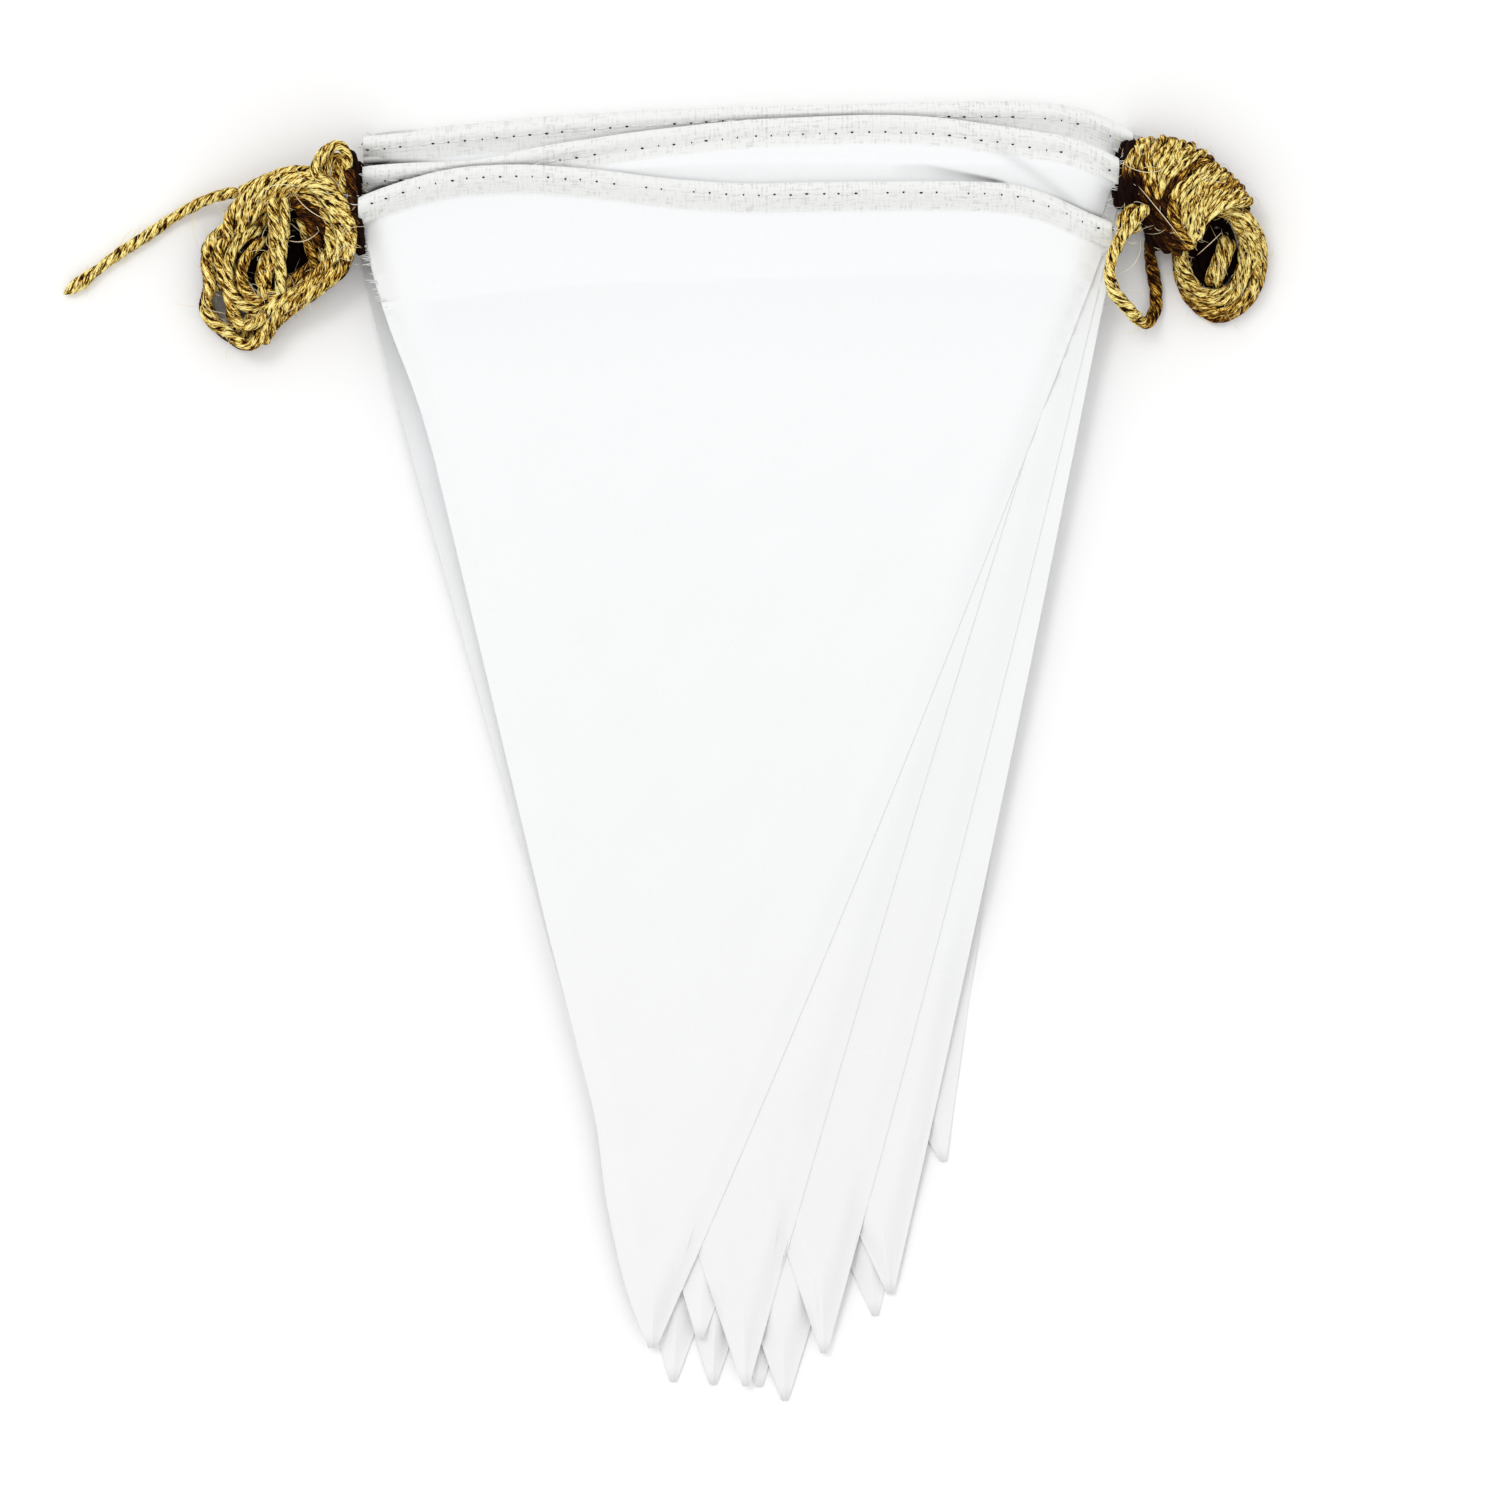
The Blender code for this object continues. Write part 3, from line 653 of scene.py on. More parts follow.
# %% [markdown]
# Nearly black strands fill the hank's middle, where the table would show through, and link the hank to
# the casings, where the twine goes in; their near black is painted shade. Then the whole hank is joined
# into one piece.

# %% Left hank
DARKEST_STRAND = 0.65
STRAND_PHASE = 1.7
FILL_SHARES = (0.82, 0.60, 0.40, 0.20)
FILL_HEIGHT = 2.0
FILL_LIGHT = 0.05


def strand_surface(strand, number):
    """Twine along a strand's route, each with its own wobble and its own change of light."""
    path = above_table(smooth_route(traced(*strand.route), TWINE_STEP))
    light = strand.light * uneven(path, DARKEST_STRAND, np.random.default_rng(number))
    return twine_surface(path, light, phase=STRAND_PHASE * number)


def strand_surfaces(strands):
    """The surfaces of many strands, numbered from 0."""
    return [strand_surface(strand, number) for number, strand in enumerate(strands)]


LEFT_MIDDLE_POINT = np.array(photo(279, 257))
fill_route = np.vstack([LEFT_MIDDLE_POINT + (LEFT_INNER - LEFT_MIDDLE_POINT) * share
                        + (0.0, 0.0, FILL_HEIGHT) for share in FILL_SHARES])
left_fill = smooth_route(fill_route, TWINE_STEP)
# Painted shade: the links lie in the dark gap between the hank and the casings.
LEFT_LINKS = (
    Strand(0.12, ((351, 150, 13), (354, 166, 14), (356, 184, 14), (356, 202, 14), (358, 220, 13),
                  (360, 240, 11), (361, 256, 8))),
    Strand(0.07, ((357, 160, 9), (361, 178, 10), (362, 198, 10), (363, 216, 9), (365, 236, 7))),
    Strand(0.10, ((350, 176, 8), (354, 192, 10), (355, 210, 11), (356, 228, 10), (356, 244, 8))),
    Strand(0.30, ((348, 168, 17), (352, 184, 17.6), (354, 198, 17.4), (353, 212, 16), (355, 230, 14))),
    Strand(0.05, ((358, 168, 3), (363, 190, 3), (364, 212, 3), (366, 232, 3))),
)
left_hank = make_piece("left_hank", joined(
    [twine_surface(left_path, left_light), twine_surface(left_fill, FILL_LIGHT)]
    + strand_surfaces(LEFT_STRANDS + LEFT_LINKS)), JUTE)
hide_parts("hank_left")

# %% [markdown]
# ## The right hank
#
# The right hank starts as turns wound round a core that slants away from the cloth. Each turn is a
# tilted ellipse, so the whole winding is one path with a few points to a turn.

# %% Right hank's turns
CORE = traced(
    (1123, 178, 10.4), (1136, 175, 10.6), (1152, 177, 10.6), (1170, 184, 10.4), (1188, 193, 10.2),
    (1204, 204, 9.8), (1217, 216, 9.2))
CORE_STEP = 0.5
CORE_SHARES = (0.0, 0.2, 0.45, 0.55, 1.0)
TURN_ANGLES = (82.0, 68.0, 50.0, 48.0, 32.0)
TURN_HALF_LENGTHS = (10.0, 11.4, 12.0, 11.2, 9.6)
TURN_BOW = 3.6
TURNS_COUNT = 15
TURN_POINTS = 16
TURN_HALF_HEIGHT = 7.4
TURN_RADIUS = 1.35
TURN_WANDER = 0.32
LEAN_WANDER = 0.02
GAP_SHARE = 0.5
GAP_WIDTH = 0.035
GAP_SHARPNESS = 14.0


def wound_turns(count, source):
    """Turns round a slanted core, as one path.

    Each turn goes round an ellipse whose middle moves along the core. Its long half-axis lies flat, at
    an angle that changes along the core, and its short half-axis points up. Both its ends are bent
    sideways by the bow times the square of their distance. Half way along, a small eased step leaves a
    gap between two turns.
    """
    angle = np.arange(count * TURN_POINTS) * 2.0 * np.pi / TURN_POINTS
    share = angle / angle[-1]
    share = share + GAP_WIDTH * smooth_step((share - GAP_SHARE) * GAP_SHARPNESS) * (1.0 - share)
    core = smooth_route(CORE, CORE_STEP)
    place = share * (len(core) - 1)
    middle = np.column_stack([np.interp(place, np.arange(len(core)), core[:, axis]) for axis in range(3)])
    lean = np.radians(np.interp(share, CORE_SHARES, TURN_ANGLES))
    lean = lean + source.normal(0.0, LEAN_WANDER, len(angle))
    reach = np.cos(angle) * np.interp(share, CORE_SHARES, TURN_HALF_LENGTHS)
    points = middle + reach[:, None] * np.column_stack((np.cos(lean), np.sin(lean), 0.0 * lean))
    sideways = TURN_BOW * np.cos(angle) ** 2
    points += sideways[:, None] * np.column_stack((np.sin(lean), -np.cos(lean), 0.0 * lean))
    points[:, 2] += TURN_HALF_HEIGHT * np.sin(angle)
    return points + source.normal(0.0, TURN_WANDER, points.shape)


right_source = np.random.default_rng(8)
turns_path = above_table(smooth_route(wound_turns(TURNS_COUNT, right_source), TWINE_STEP))
print("turns:", TURNS_COUNT, "of", round(path_length(turns_path)), "mm of twine")

# %% [markdown]
# After the last turn, the real twine goes on as rings round an open eye. Each ring is an ellipse with a
# size and a height of its own. Three small rings, dark with painted shade, fill the eye's bottom.

# %% Right hank's rings
Ring = namedtuple("Ring", "x y half_width half_length height")
RINGS = (Ring(1215, 252, 30, 42, 1.8), Ring(1218, 254, 36, 49, 1.8), Ring(1215, 251, 31, 42, 4.2),
         Ring(1220, 256, 42, 54, 1.8), Ring(1219, 254, 36, 48, 4.6), Ring(1221, 257, 44, 58, 2.0),
         Ring(1215, 251, 31, 43, 6.8), Ring(1220, 256, 41, 55, 4.6), Ring(1217, 253, 35, 47, 8.4),
         Ring(1220, 256, 39, 53, 6.6))
EYE_FILL = (Ring(1214, 251, 20, 32, 1.7), Ring(1214, 251, 10, 22, 1.7), Ring(1214, 251, 3, 10, 1.7))
RING_START = 0.6 * np.pi
RING_LIFT = 4.0
RING_LIFT_SHIFT = 0.3
RING_WANDER = 0.25


def eye_rings(rings, source):
    """Rings round the eye, as one path: ellipses in the photograph's pixels, each at its own height.

    The side next to the turns is lifted by half a sine wave, because it passes over them.
    """
    angle = np.arange(TURN_POINTS) * 2.0 * np.pi / TURN_POINTS + RING_START
    route = []
    for ring in rings:
        across, down = ring.half_width * np.cos(angle), ring.half_length * np.sin(angle)
        x, y, _ = photo(ring.x + across, ring.y - down)
        z = ring.height + RING_LIFT * np.clip(np.sin(angle + RING_LIFT_SHIFT), 0.0, None)
        route.append(np.column_stack((x, y, z)) + source.normal(0.0, RING_WANDER, (TURN_POINTS, 3)))
    return np.vstack(route)


rings_path = above_table(smooth_route(eye_rings(RINGS, right_source), TWINE_STEP))
fill_path = smooth_route(eye_rings(EYE_FILL, right_source), TWINE_STEP)
fill_path[:, 2] = TWINE_RADIUS
print("rings:", len(RINGS), "of", round(path_length(rings_path)), "mm of twine")

# %% [markdown]
# Single strands again: two run down the eye, three tuck in the small loop of slack, four made nearly
# black with painted shade lie next to the casings, and the last five hang below the turns, darkened
# with painted shade that lessens towards the eye.

# %% Right hank's single strands
RIGHT_STRANDS = (
    Strand(1.0, ((1226, 234, 4), (1224, 244, 5.4), (1219, 258, 5.8), (1213, 272, 5.2), (1210, 286, 3.8))),
    Strand(1.0, ((1234, 238, 4), (1230, 250, 5), (1225, 264, 5.4), (1219, 277, 5), (1216, 288, 3.8))),
    Strand(0.95, ((1138, 210, 14), (1132, 211, 17), (1125, 216, 18.4), (1118, 226, 19.0))),
    Strand(0.95, ((1136, 222, 13), (1131, 217, 16.4), (1124, 220, 18.6), (1117, 231, 19.2))),
    Strand(0.90, ((1138, 226, 12), (1131, 229, 15.6), (1124, 230, 17.6), (1116, 236, 19.0))),
    # Painted shade: the next four lie in the dark corner by the casings, the last five under the turns.
    Strand(0.05, ((1128, 140, 11), (1123, 152, 12), (1119, 170, 12), (1117, 190, 12), (1119, 210, 11))),
    Strand(0.10, ((1134, 140, 14), (1128, 156, 15), (1124, 174, 15.4), (1122, 192, 15), (1126, 212, 14))),
    Strand(0.06, ((1125, 144, 6), (1119, 160, 8), (1116, 178, 9), (1114, 198, 8), (1116, 218, 7))),
    Strand(0.03, ((1124, 150, 3), (1120, 170, 3), (1118, 190, 3), (1120, 212, 3))),
    Strand(0.10, ((1138, 196, 15), (1142, 212, 13.6), (1148, 226, 11), (1152, 240, 8), (1160, 250, 6))),
    Strand(0.22, ((1146, 192, 16.6), (1149, 206, 15.8), (1154, 224, 14), (1160, 240, 11), (1172, 252, 8))),
    Strand(0.34, ((1154, 192, 17.4), (1157, 206, 16.8), (1162, 224, 15), (1170, 242, 12), (1182, 256, 9.6))),
    Strand(0.26, ((1163, 196, 17.8), (1164, 210, 17), (1169, 226, 15.4), (1178, 240, 12.8), (1188, 250, 10))),
    Strand(0.55, ((1171, 198, 18), (1171, 212, 17.4), (1176, 228, 16), (1185, 240, 13.4), (1192, 250, 11))),
)
print("single strands:", len(RIGHT_STRANDS))

# %% [markdown]
# Little light reaches the low side of a turn, the gap half way along, and the corner between the hank
# and the cloth, so the light mark paints shade there. A thick core, dark with painted shade, keeps the
# table from showing through.

# %% Right hank
TURNS_LIGHT = ((4.0, 0.30), (11.0, 0.68), (15.0, 1.06))
RINGS_LIGHT = ((1.8, 0.48), (4.5, 0.92), (7.0, 1.06))
Corner = namedtuple("Corner", "x y width darkness")
CORNER = Corner(119.0, 153.0, 8.0, 0.80)
DEEPEST_CORNER = Corner(110.5, 155.5, 4.0, 0.93)
GAP_DARKNESS = 0.6
GAP_DARK_SHARE = 0.022
# Painted shade: the core and the eye's fill are dark because they lie in shadow.
CORE_RADIUS = 6.0
CORE_LIGHT = 0.10
EYE_FILL_LIGHT = 0.04


def corner_shade(path, corner):
    """The corner's darkness left of its x and below its y, falling to 0 over its width."""
    left = np.clip((corner.x - path[:, 0]) / corner.width, 0.0, 1.0)
    below = np.clip((corner.y - path[:, 1]) / corner.width, 0.0, 1.0)
    return corner.darkness * left * below


turn_share = np.linspace(0.0, 1.0, len(turns_path))
in_gap = GAP_DARKNESS * np.exp(-((turn_share - GAP_SHARE) / GAP_DARK_SHARE) ** 2)
shaded = np.maximum(corner_shade(turns_path, CORNER), corner_shade(turns_path, DEEPEST_CORNER))
turns_light = through(TURNS_LIGHT, turns_path[:, 2]) * (1.0 - shaded) * (1.0 - in_gap)
turns_light = turns_light * uneven(turns_path, DARKEST, right_source)
rings_light = through(RINGS_LIGHT, rings_path[:, 2]) * uneven(rings_path, DARKEST, right_source)
core_path = smooth_route(CORE, TWINE_STEP)
right_hank = make_piece("right_hank", joined(
    [twine_surface(turns_path, turns_light, TURN_RADIUS), twine_surface(rings_path, rings_light, TURN_RADIUS),
     twine_surface(fill_path, EYE_FILL_LIGHT), twine_surface(core_path, CORE_LIGHT, CORE_RADIUS)]
    + strand_surfaces(RIGHT_STRANDS)), JUTE)
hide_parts("hank_right")

# %% [markdown]
# ## How the cloths lie
#
# Each cloth rests on the ones beneath it. A height field, a table of the height of the stack's top at
# every place, keeps count: a casing comes to lie on whatever is under it, and the cloth then sags like
# a soft skin until something holds it up. Then the field is raised by that cloth, and the next follows.
#
# First the plan, in mm. A pennant's row says how far its casing lies behind the front one, where the
# casing ends at the left and right, where the point is, and how far each side bulges. The casings share
# one arch, and the three top ones also have waves of their own.

# %% The stack's plan
CLOTH = 0.45
AIR = 0.75
CASING_RADIUS = 2.25
FOLD_Y = 150.5
HEM = 5.2
TIP_HALF_WIDTH = 0.9
ARCH = ((-110.0, -9.2), (-78.0, -6.4), (-52.0, -3.7), (-26.0, -1.5), (0.0, 0.0), (26.0, 0.6), (52.0, 0.8),
        (76.0, 0.4), (91.0, -1.0), (110.0, -9.5))

Pennant = namedtuple("Pennant", "number casing_row left_end right_end tip_x tip_y left_bow right_bow")
PENNANTS = (
    Pennant(11, 22.4, -99.5, 104.5, 54.4, -113.5, 0.0, -3.0),
    Pennant(10, 15.0, -100.5, 104.0, 36.0, -155.4, 0.0, 1.0),
    Pennant(9, 7.5, -102.0, 103.0, 4.5, -174.6, 0.0, 0.0),
    Pennant(8, 0.0, -103.5, 101.5, -18.8, -173.2, 0.5, 0.0),
    Pennant(7, -7.5, -99.0, 100.0, -8.0, -174.0, 0.0, 0.0),
    Pennant(6, -15.0, -97.5, 98.5, 11.5, -178.3, 0.0, 1.5),
    Pennant(5, -22.5, -95.5, 97.5, -11.5, -161.3, 0.0, 0.0),
    Pennant(4, 7.5, -101.0, 103.5, 40.1, -149.4, 0.0, 1.3),
    Pennant(3, 22.4, -102.5, 105.5, 22.0, -165.4, -4.0, 2.0),
    Pennant(2, 15.0, -102.5, 101.5, 0.9, -174.3, 2.0, -2.0),
    Pennant(1, 0.0, -101.5, 99.5, -24.2, -164.0, 0.0, 2.5),
)
WAVES = {
    1: ((-110.0, 3.0), (-100.0, 6.2), (-92.0, 8.3), (-78.0, 10.8), (-60.0, 9.9), (-38.0, 6.3),
        (-22.0, 2.8), (0.0, 0.0), (69.0, 0.0), (80.0, -1.6), (91.0, -5.7), (98.0, -5.9), (110.0, -3.4)),
    2: ((-110.0, -1.6), (-94.0, -1.4), (-71.0, -2.8), (-54.0, -0.6), (-30.0, 1.0), (0.0, 2.6), (37.0, 3.4),
        (53.0, 2.6), (75.0, -0.3), (91.0, -1.6), (110.0, -2.6)),
    3: ((-110.0, -0.6), (-80.0, -0.4), (-40.0, -0.8), (0.0, -1.0), (40.0, -1.0), (80.0, -0.4), (110.0, -0.4)),
}
LEFT_EDGES = {
    1: ((-164.0, 0.0), (-158.0, -1.6), (-145.0, -2.8), (-123.0, -2.0), (-102.0, 0.8), (-53.0, 0.2),
        (20.0, 0.8), (82.0, 1.2), (98.0, 0.0), (111.0, -2.2), (128.0, -3.2), (140.0, -2.6), (150.0, -1.4)),
    8: ((-173.0, 0.0), (-100.0, -0.3), (-42.0, -0.6), (-5.0, -1.1), (28.0, -1.5), (60.0, -2.2), (94.0, -2.6),
        (118.0, -2.8), (130.0, -2.2), (140.0, -0.9), (150.0, 0.0)),
}
LINE_SOFTNESS = 5.0
HIDDEN_WAVE = 0.7
print("pennants:", len(PENNANTS))


def eased(x, corners):
    """A line through corners with its bends eased: the mean of three readings, a little apart."""
    return sum(through(corners, x + shift) for shift in (-LINE_SOFTNESS, 0.0, LINE_SOFTNESS)) / 3.0


def casing_line(pennant, x):
    """The y of a casing's middle: the common arch, the casing's own row and its own wave."""
    if pennant.number in WAVES:
        wave = eased(x, WAVES[pennant.number])
    else:
        wave = HIDDEN_WAVE * np.sin(x / (17.0 + pennant.number) + 2.1 * pennant.number)
    return FOLD_Y - CASING_RADIUS + pennant.casing_row + eased(x, ARCH) + wave


def edge_x(pennant, side, y):
    """The x of a pennant's left (-1) or right (+1) edge: a straight line with a gentle bow."""
    top_x = pennant.left_end if side < 0 else pennant.right_end
    bow = pennant.left_bow if side < 0 else pennant.right_bow
    top_y = casing_line(pennant, np.array(top_x))
    share = (top_y - y) / (top_y - pennant.tip_y)
    straight = top_x + (pennant.tip_x + side * TIP_HALF_WIDTH - top_x) * share
    if side < 0 and pennant.number in LEFT_EDGES:
        straight = straight + eased(y, LEFT_EDGES[pennant.number])
    return straight + side * bow * 4.0 * share * (1.0 - share)


# %% [markdown]
# The field's grid is 2 mm across and 1 mm along the pennants. A real cloth's weight and stiffness are
# stood for by two simple rules: a casing bridges small dips, and the cloth below it moves towards the
# mean of its neighbours, more along its length than across.

# %% Height field
GRID_X = np.arange(-116.0, 117.0, 2.0)
GRID_Y = np.arange(-186.0, 188.0, 1.0)
SAG = 0.004
ROUNDS = 220
BRIDGED = 3
WEIGHT_X = 0.1
WEIGHT_Y = 0.4
ALL_X, ALL_Y = np.meshgrid(GRID_X, GRID_Y)
print("height field:", len(GRID_X), "by", len(GRID_Y), "places")


def read(field, x, y):
    """A field's value at any places, worked out from the four cells round each."""
    column = np.clip((x - GRID_X[0]) / (GRID_X[1] - GRID_X[0]), 0.0, len(GRID_X) - 1.001)
    row = np.clip((y - GRID_Y[0]) / (GRID_Y[1] - GRID_Y[0]), 0.0, len(GRID_Y) - 1.001)
    left, low = column.astype(int), row.astype(int)
    to_right, to_high = column - left, row - low
    below = field[low, left] * (1.0 - to_right) + field[low, left + 1] * to_right
    above = field[low + 1, left] * (1.0 - to_right) + field[low + 1, left + 1] * to_right
    return below * (1.0 - to_high) + above * to_high


def neighbours(values, reach):
    """Each value's neighbours up to a reach away, one shift to a row."""
    padded = np.pad(values, reach, mode="edge")
    return [padded[shift:shift + len(values)] for shift in range(2 * reach + 1)]


def rest_casing(field, line):
    """The height of a casing's underside: the highest that anything under its round section asks for.

    Each place takes the highest of its neighbours and then their mean, so the casing bridges dips.
    """
    across = np.arange(-CASING_RADIUS, CASING_RADIUS + 0.1, 0.4)[:, None]
    rounding = CASING_RADIUS - np.sqrt(np.clip(CASING_RADIUS ** 2 - across ** 2, 0.0, None))
    asked = (read(field, GRID_X[None, :] + 0.0 * across, line[None, :] + across) + AIR - rounding).max(axis=0)
    highest = np.max(neighbours(asked, BRIDGED), axis=0)
    return np.mean(neighbours(highest, BRIDGED), axis=0)


def sag_cloth(field, line, base, start):
    """A skin held at the casing that sags onto the field.

    Each round, every point takes the mean of its four neighbours less a little for its weight, but
    never sinks below what lies under it.
    """
    under = field + AIR
    held = ALL_Y >= line[None, :] - 1.0
    skin = np.where(held, base[None, :], np.maximum(under, start))
    for _ in range(ROUNDS):
        wide = np.pad(skin, 1, mode="edge")
        mean = (WEIGHT_X * (wide[1:-1, :-2] + wide[1:-1, 2:]) + WEIGHT_Y * (wide[:-2, 1:-1] + wide[2:, 1:-1]))
        skin = np.where(held, base[None, :], np.maximum(under, mean - SAG))
    return skin


# %% [markdown]
# Now the cloths are laid from the bottom of the stack to its top. Each leaves its own height and that
# of its casing in the field.

# %% Laying one cloth after another
EDGE_MARGIN = 1.0
TUBE_PAST_ENDS = 3.0
Laid = namedtuple("Laid", "pennant base skin under")
pile = np.zeros(ALL_X.shape)
start = np.zeros(ALL_X.shape)
laid = []
for pennant in PENNANTS:
    line = casing_line(pennant, GRID_X)
    base = rest_casing(pile, line)
    skin = sag_cloth(pile, line, base, start)
    laid.append(Laid(pennant, base, skin, pile))
    start = skin + CLOTH + AIR
    right_of_left = ALL_X >= edge_x(pennant, -1, ALL_Y) - EDGE_MARGIN
    left_of_right = ALL_X <= edge_x(pennant, 1, ALL_Y) + EDGE_MARGIN
    inside = right_of_left & left_of_right & (ALL_Y >= pennant.tip_y) & (ALL_Y <= line[None, :])
    near = HEM + 1.0 - np.abs(line[None, :] - ALL_Y)
    thickness = CLOTH + CLOTH * np.clip(near, 0.0, 1.0)
    pile = np.where(inside, np.maximum(pile, skin + thickness), pile)
    off = np.abs(ALL_Y - line[None, :])
    tube = base[None, :] + CASING_RADIUS + np.sqrt(np.clip(CASING_RADIUS ** 2 - off ** 2, 0.0, None))
    past_left = ALL_X >= pennant.left_end - TUBE_PAST_ENDS
    past_right = ALL_X <= pennant.right_end + TUBE_PAST_ENDS
    in_tube = (off <= CASING_RADIUS) & past_left & past_right
    pile = np.where(in_tube, np.maximum(pile, tube), pile)
    print("pennant", pennant.number, "casing rests at", base.min().round(1), "to", base.max().round(1), "mm")

# %% [markdown]
# ## Cloth finish
#
# The cloth is a plain weave of slightly uneven threads, bleached white. The weave runs along the cloth,
# so it is drawn on the UV map, which holds the cloth's own flat measure in metres. Two point attributes
# change it from place to place: `hem` marks the casing, where the cloth lies double and the threads stand
# out more, and `shade` the deep folds, where little light comes in.

# %% Cloth finish
THREAD = 0.00062
ALONG_THREAD = 260.0
WHITE = (0.880, 0.890, 0.898, 1.0)
WHITE_AT_POINT = (0.838, 0.838, 0.836, 1.0)
WHITE_AT_HEM = (0.835, 0.842, 0.826, 1.0)
GREY_THREAD = (0.42, 0.41, 0.37, 1.0)
DEEP_FOLD = (0.035, 0.030, 0.028, 1.0)


def cloth_finish():
    """Cloth: a white that dulls towards the point and at the hem, with grey gaps between the threads.

    The threads are the mean of two noises, each drawn out along its own threads, and a slower cloud
    makes them uneven. The shade mark turns all of it towards the colour of a deep fold.
    """
    finish = Finish("bunting_cloth")
    uv, across, down = finish.flat_place()
    hem = finish.mark("hem")
    shade = finish.mark("shade")
    warp_place = finish.place(across * (1.0 / THREAD), down * ALONG_THREAD)
    weft_place = finish.place(across * ALONG_THREAD, down * (1.0 / THREAD), 7.0)
    threads = (finish.noise(warp_place, 1.0, 1.0) + finish.noise(weft_place, 1.0, 1.0)) * 0.5
    cloud = finish.noise(uv, 45.0, 2.0, 0.6)
    uneven = (cloud * 1.6 - 0.3).clamp()
    dark = ((0.50 - threads) * 6.0).clamp() * (hem * 0.92 + 0.05) * uneven
    plain = finish.blend((down * -3.4 - 0.08).clamp(), WHITE, WHITE_AT_POINT)
    plain = finish.blend(hem, plain, WHITE_AT_HEM)
    woven = finish.blend(dark * 0.8, plain, GREY_THREAD)
    finish.set("Base Color", finish.blend((shade * (cloud * 0.7 + 0.65)).clamp(), woven, DEEP_FOLD))
    finish.set("Roughness", 0.92)
    finish.set("Specular IOR Level", 0.2)
    finish.set("Normal", finish.bump(threads, 0.0002, 0.35))
    return finish.material


CLOTH_FINISH = cloth_finish()
print("material:", CLOTH_FINISH.name, "with threads", round(THREAD / MM, 2), "mm apart")

# %% [markdown]
# ## The pennants
#
# A pennant is one sheet. Its body lies on the stack with a few low ripples. Along its cut edges the
# real cloth is thin and lies close on the cloth beneath, so that hardly a shadow shows there: the sheet
# settles at its edges and loses most of its thickness.

# %% How a body lies
Ripple = namedtuple("Ripple", "height length slant shift")
RIPPLES = (Ripple(0.30, 41.0, 0.4, 1.3), Ripple(0.22, 27.0, 1.7, 4.0), Ripple(0.16, 19.0, 2.6, 2.2))
RIPPLES_END = 120.0
RIPPLES_FADE = 60.0
print("ripples: up to", round(sum(ripple.height for ripple in RIPPLES), 2), "mm high")


def ripples(x, y):
    """Low swells that all the cloths share, a sum of a few slanted waves, fading out at the casings.

    Half of the sum is taken, raised by the waves' heights so that it never falls below 0.
    """
    total = 0.0
    for ripple in RIPPLES:
        across = x * np.cos(ripple.slant) + y * np.sin(ripple.slant)
        total = total + ripple.height * (1.0 + np.sin(2.0 * np.pi * across / ripple.length + ripple.shift))
    return 0.5 * total * smooth_step((RIPPLES_END - y) / RIPPLES_FADE)


TOP_PENNANTS = 3
EDGE_DROOP = 7.0
MOST_DROOP = 2.6
THICKNESS = 0.25
EDGE_THINNING = 0.3
EDGE_CLEARANCE = 0.04
FAN_Y = -30.0
FAN_FADE = 40.0


def inward_of(pennant, x, y):
    """How far a place lies inside the nearer cut edge of a pennant, along x."""
    return np.minimum(x - edge_x(pennant, -1, y), edge_x(pennant, 1, y) - x)


BENEATH = {upper.pennant.number: lower for lower, upper in zip(laid, laid[1:])}


def settled_by(item, x, y):
    """How far a cloth lies lower than its skin, because its cut edges settle.

    It settles onto the cloth beneath as that one lies once its own edges have settled: everywhere on
    the three top pennants, and in the fan of points on the others.
    """
    share = 1.0 - smooth_step(inward_of(item.pennant, x, y) / EDGE_DROOP)
    if item.pennant.number > TOP_PENNANTS:
        share = share * smooth_step((FAN_Y - y) / FAN_FADE)
    gap = read(item.skin, x, y) - read(item.under, x, y)
    if item.pennant.number in BENEATH:
        lower = BENEATH[item.pennant.number]
        over_it = inward_of(lower.pennant, x, y) > -EDGE_MARGIN
        gap = gap + np.where(over_it, settled_by(lower, x, y), 0.0)
    gap = np.clip(gap, 0.0, MOST_DROOP)
    return share * (gap + 0.5 * CLOTH - 0.5 * EDGE_THINNING * THICKNESS - EDGE_CLEARANCE)


def body_height(item, x, y):
    """The middle of a cloth's thickness at a place below the stitches, double under the hem."""
    line = casing_line(item.pennant, x)
    double = smooth_step(HEM + 0.5 - (line - y))
    return read(item.skin, x, y) - settled_by(item, x, y) + CLOTH * (0.5 + double) + ripples(x, y)


# %% [markdown]
# Above the body, the cloth comes down from the casing's crest. The row of stitches pinches it in.

# %% Front of the casing
FRONT_SLOPE = 6.0
PINCH = 0.22
PINCH_WIDTH = 0.6
STITCHES_BELOW = {1: 1.1, 3: 1.6}
USUAL_STITCHES_BELOW = 2.5


def stitch_distance(pennant):
    """How far the stitches lie below the casing's middle: closer on the front and third pennants."""
    return STITCHES_BELOW.get(pennant.number, USUAL_STITCHES_BELOW)


def front_height(item, x, distance):
    """The middle of the cloth between the casing's crest and the stitches, distance below its middle.

    It falls from the crest to the body along half a cosine wave.
    """
    base = np.interp(x, GRID_X, item.base)
    crest = base + 2.0 * CASING_RADIUS - CLOTH / 2.0
    low = body_height(item, x, casing_line(item.pennant, x) - distance)
    share = 0.5 * (1.0 + np.cos(np.pi * np.clip(distance / FRONT_SLOPE, 0.0, 1.0)))
    pinch = PINCH * np.exp(-((distance - stitch_distance(item.pennant)) / PINCH_WIDTH) ** 2)
    return low + np.maximum(crest - low, 0.0) * share - pinch


distances = [stitch_distance(pennant) for pennant in PENNANTS[-TOP_PENNANTS:]]
print("stitches:", distances, "mm below the middles of the top casings")

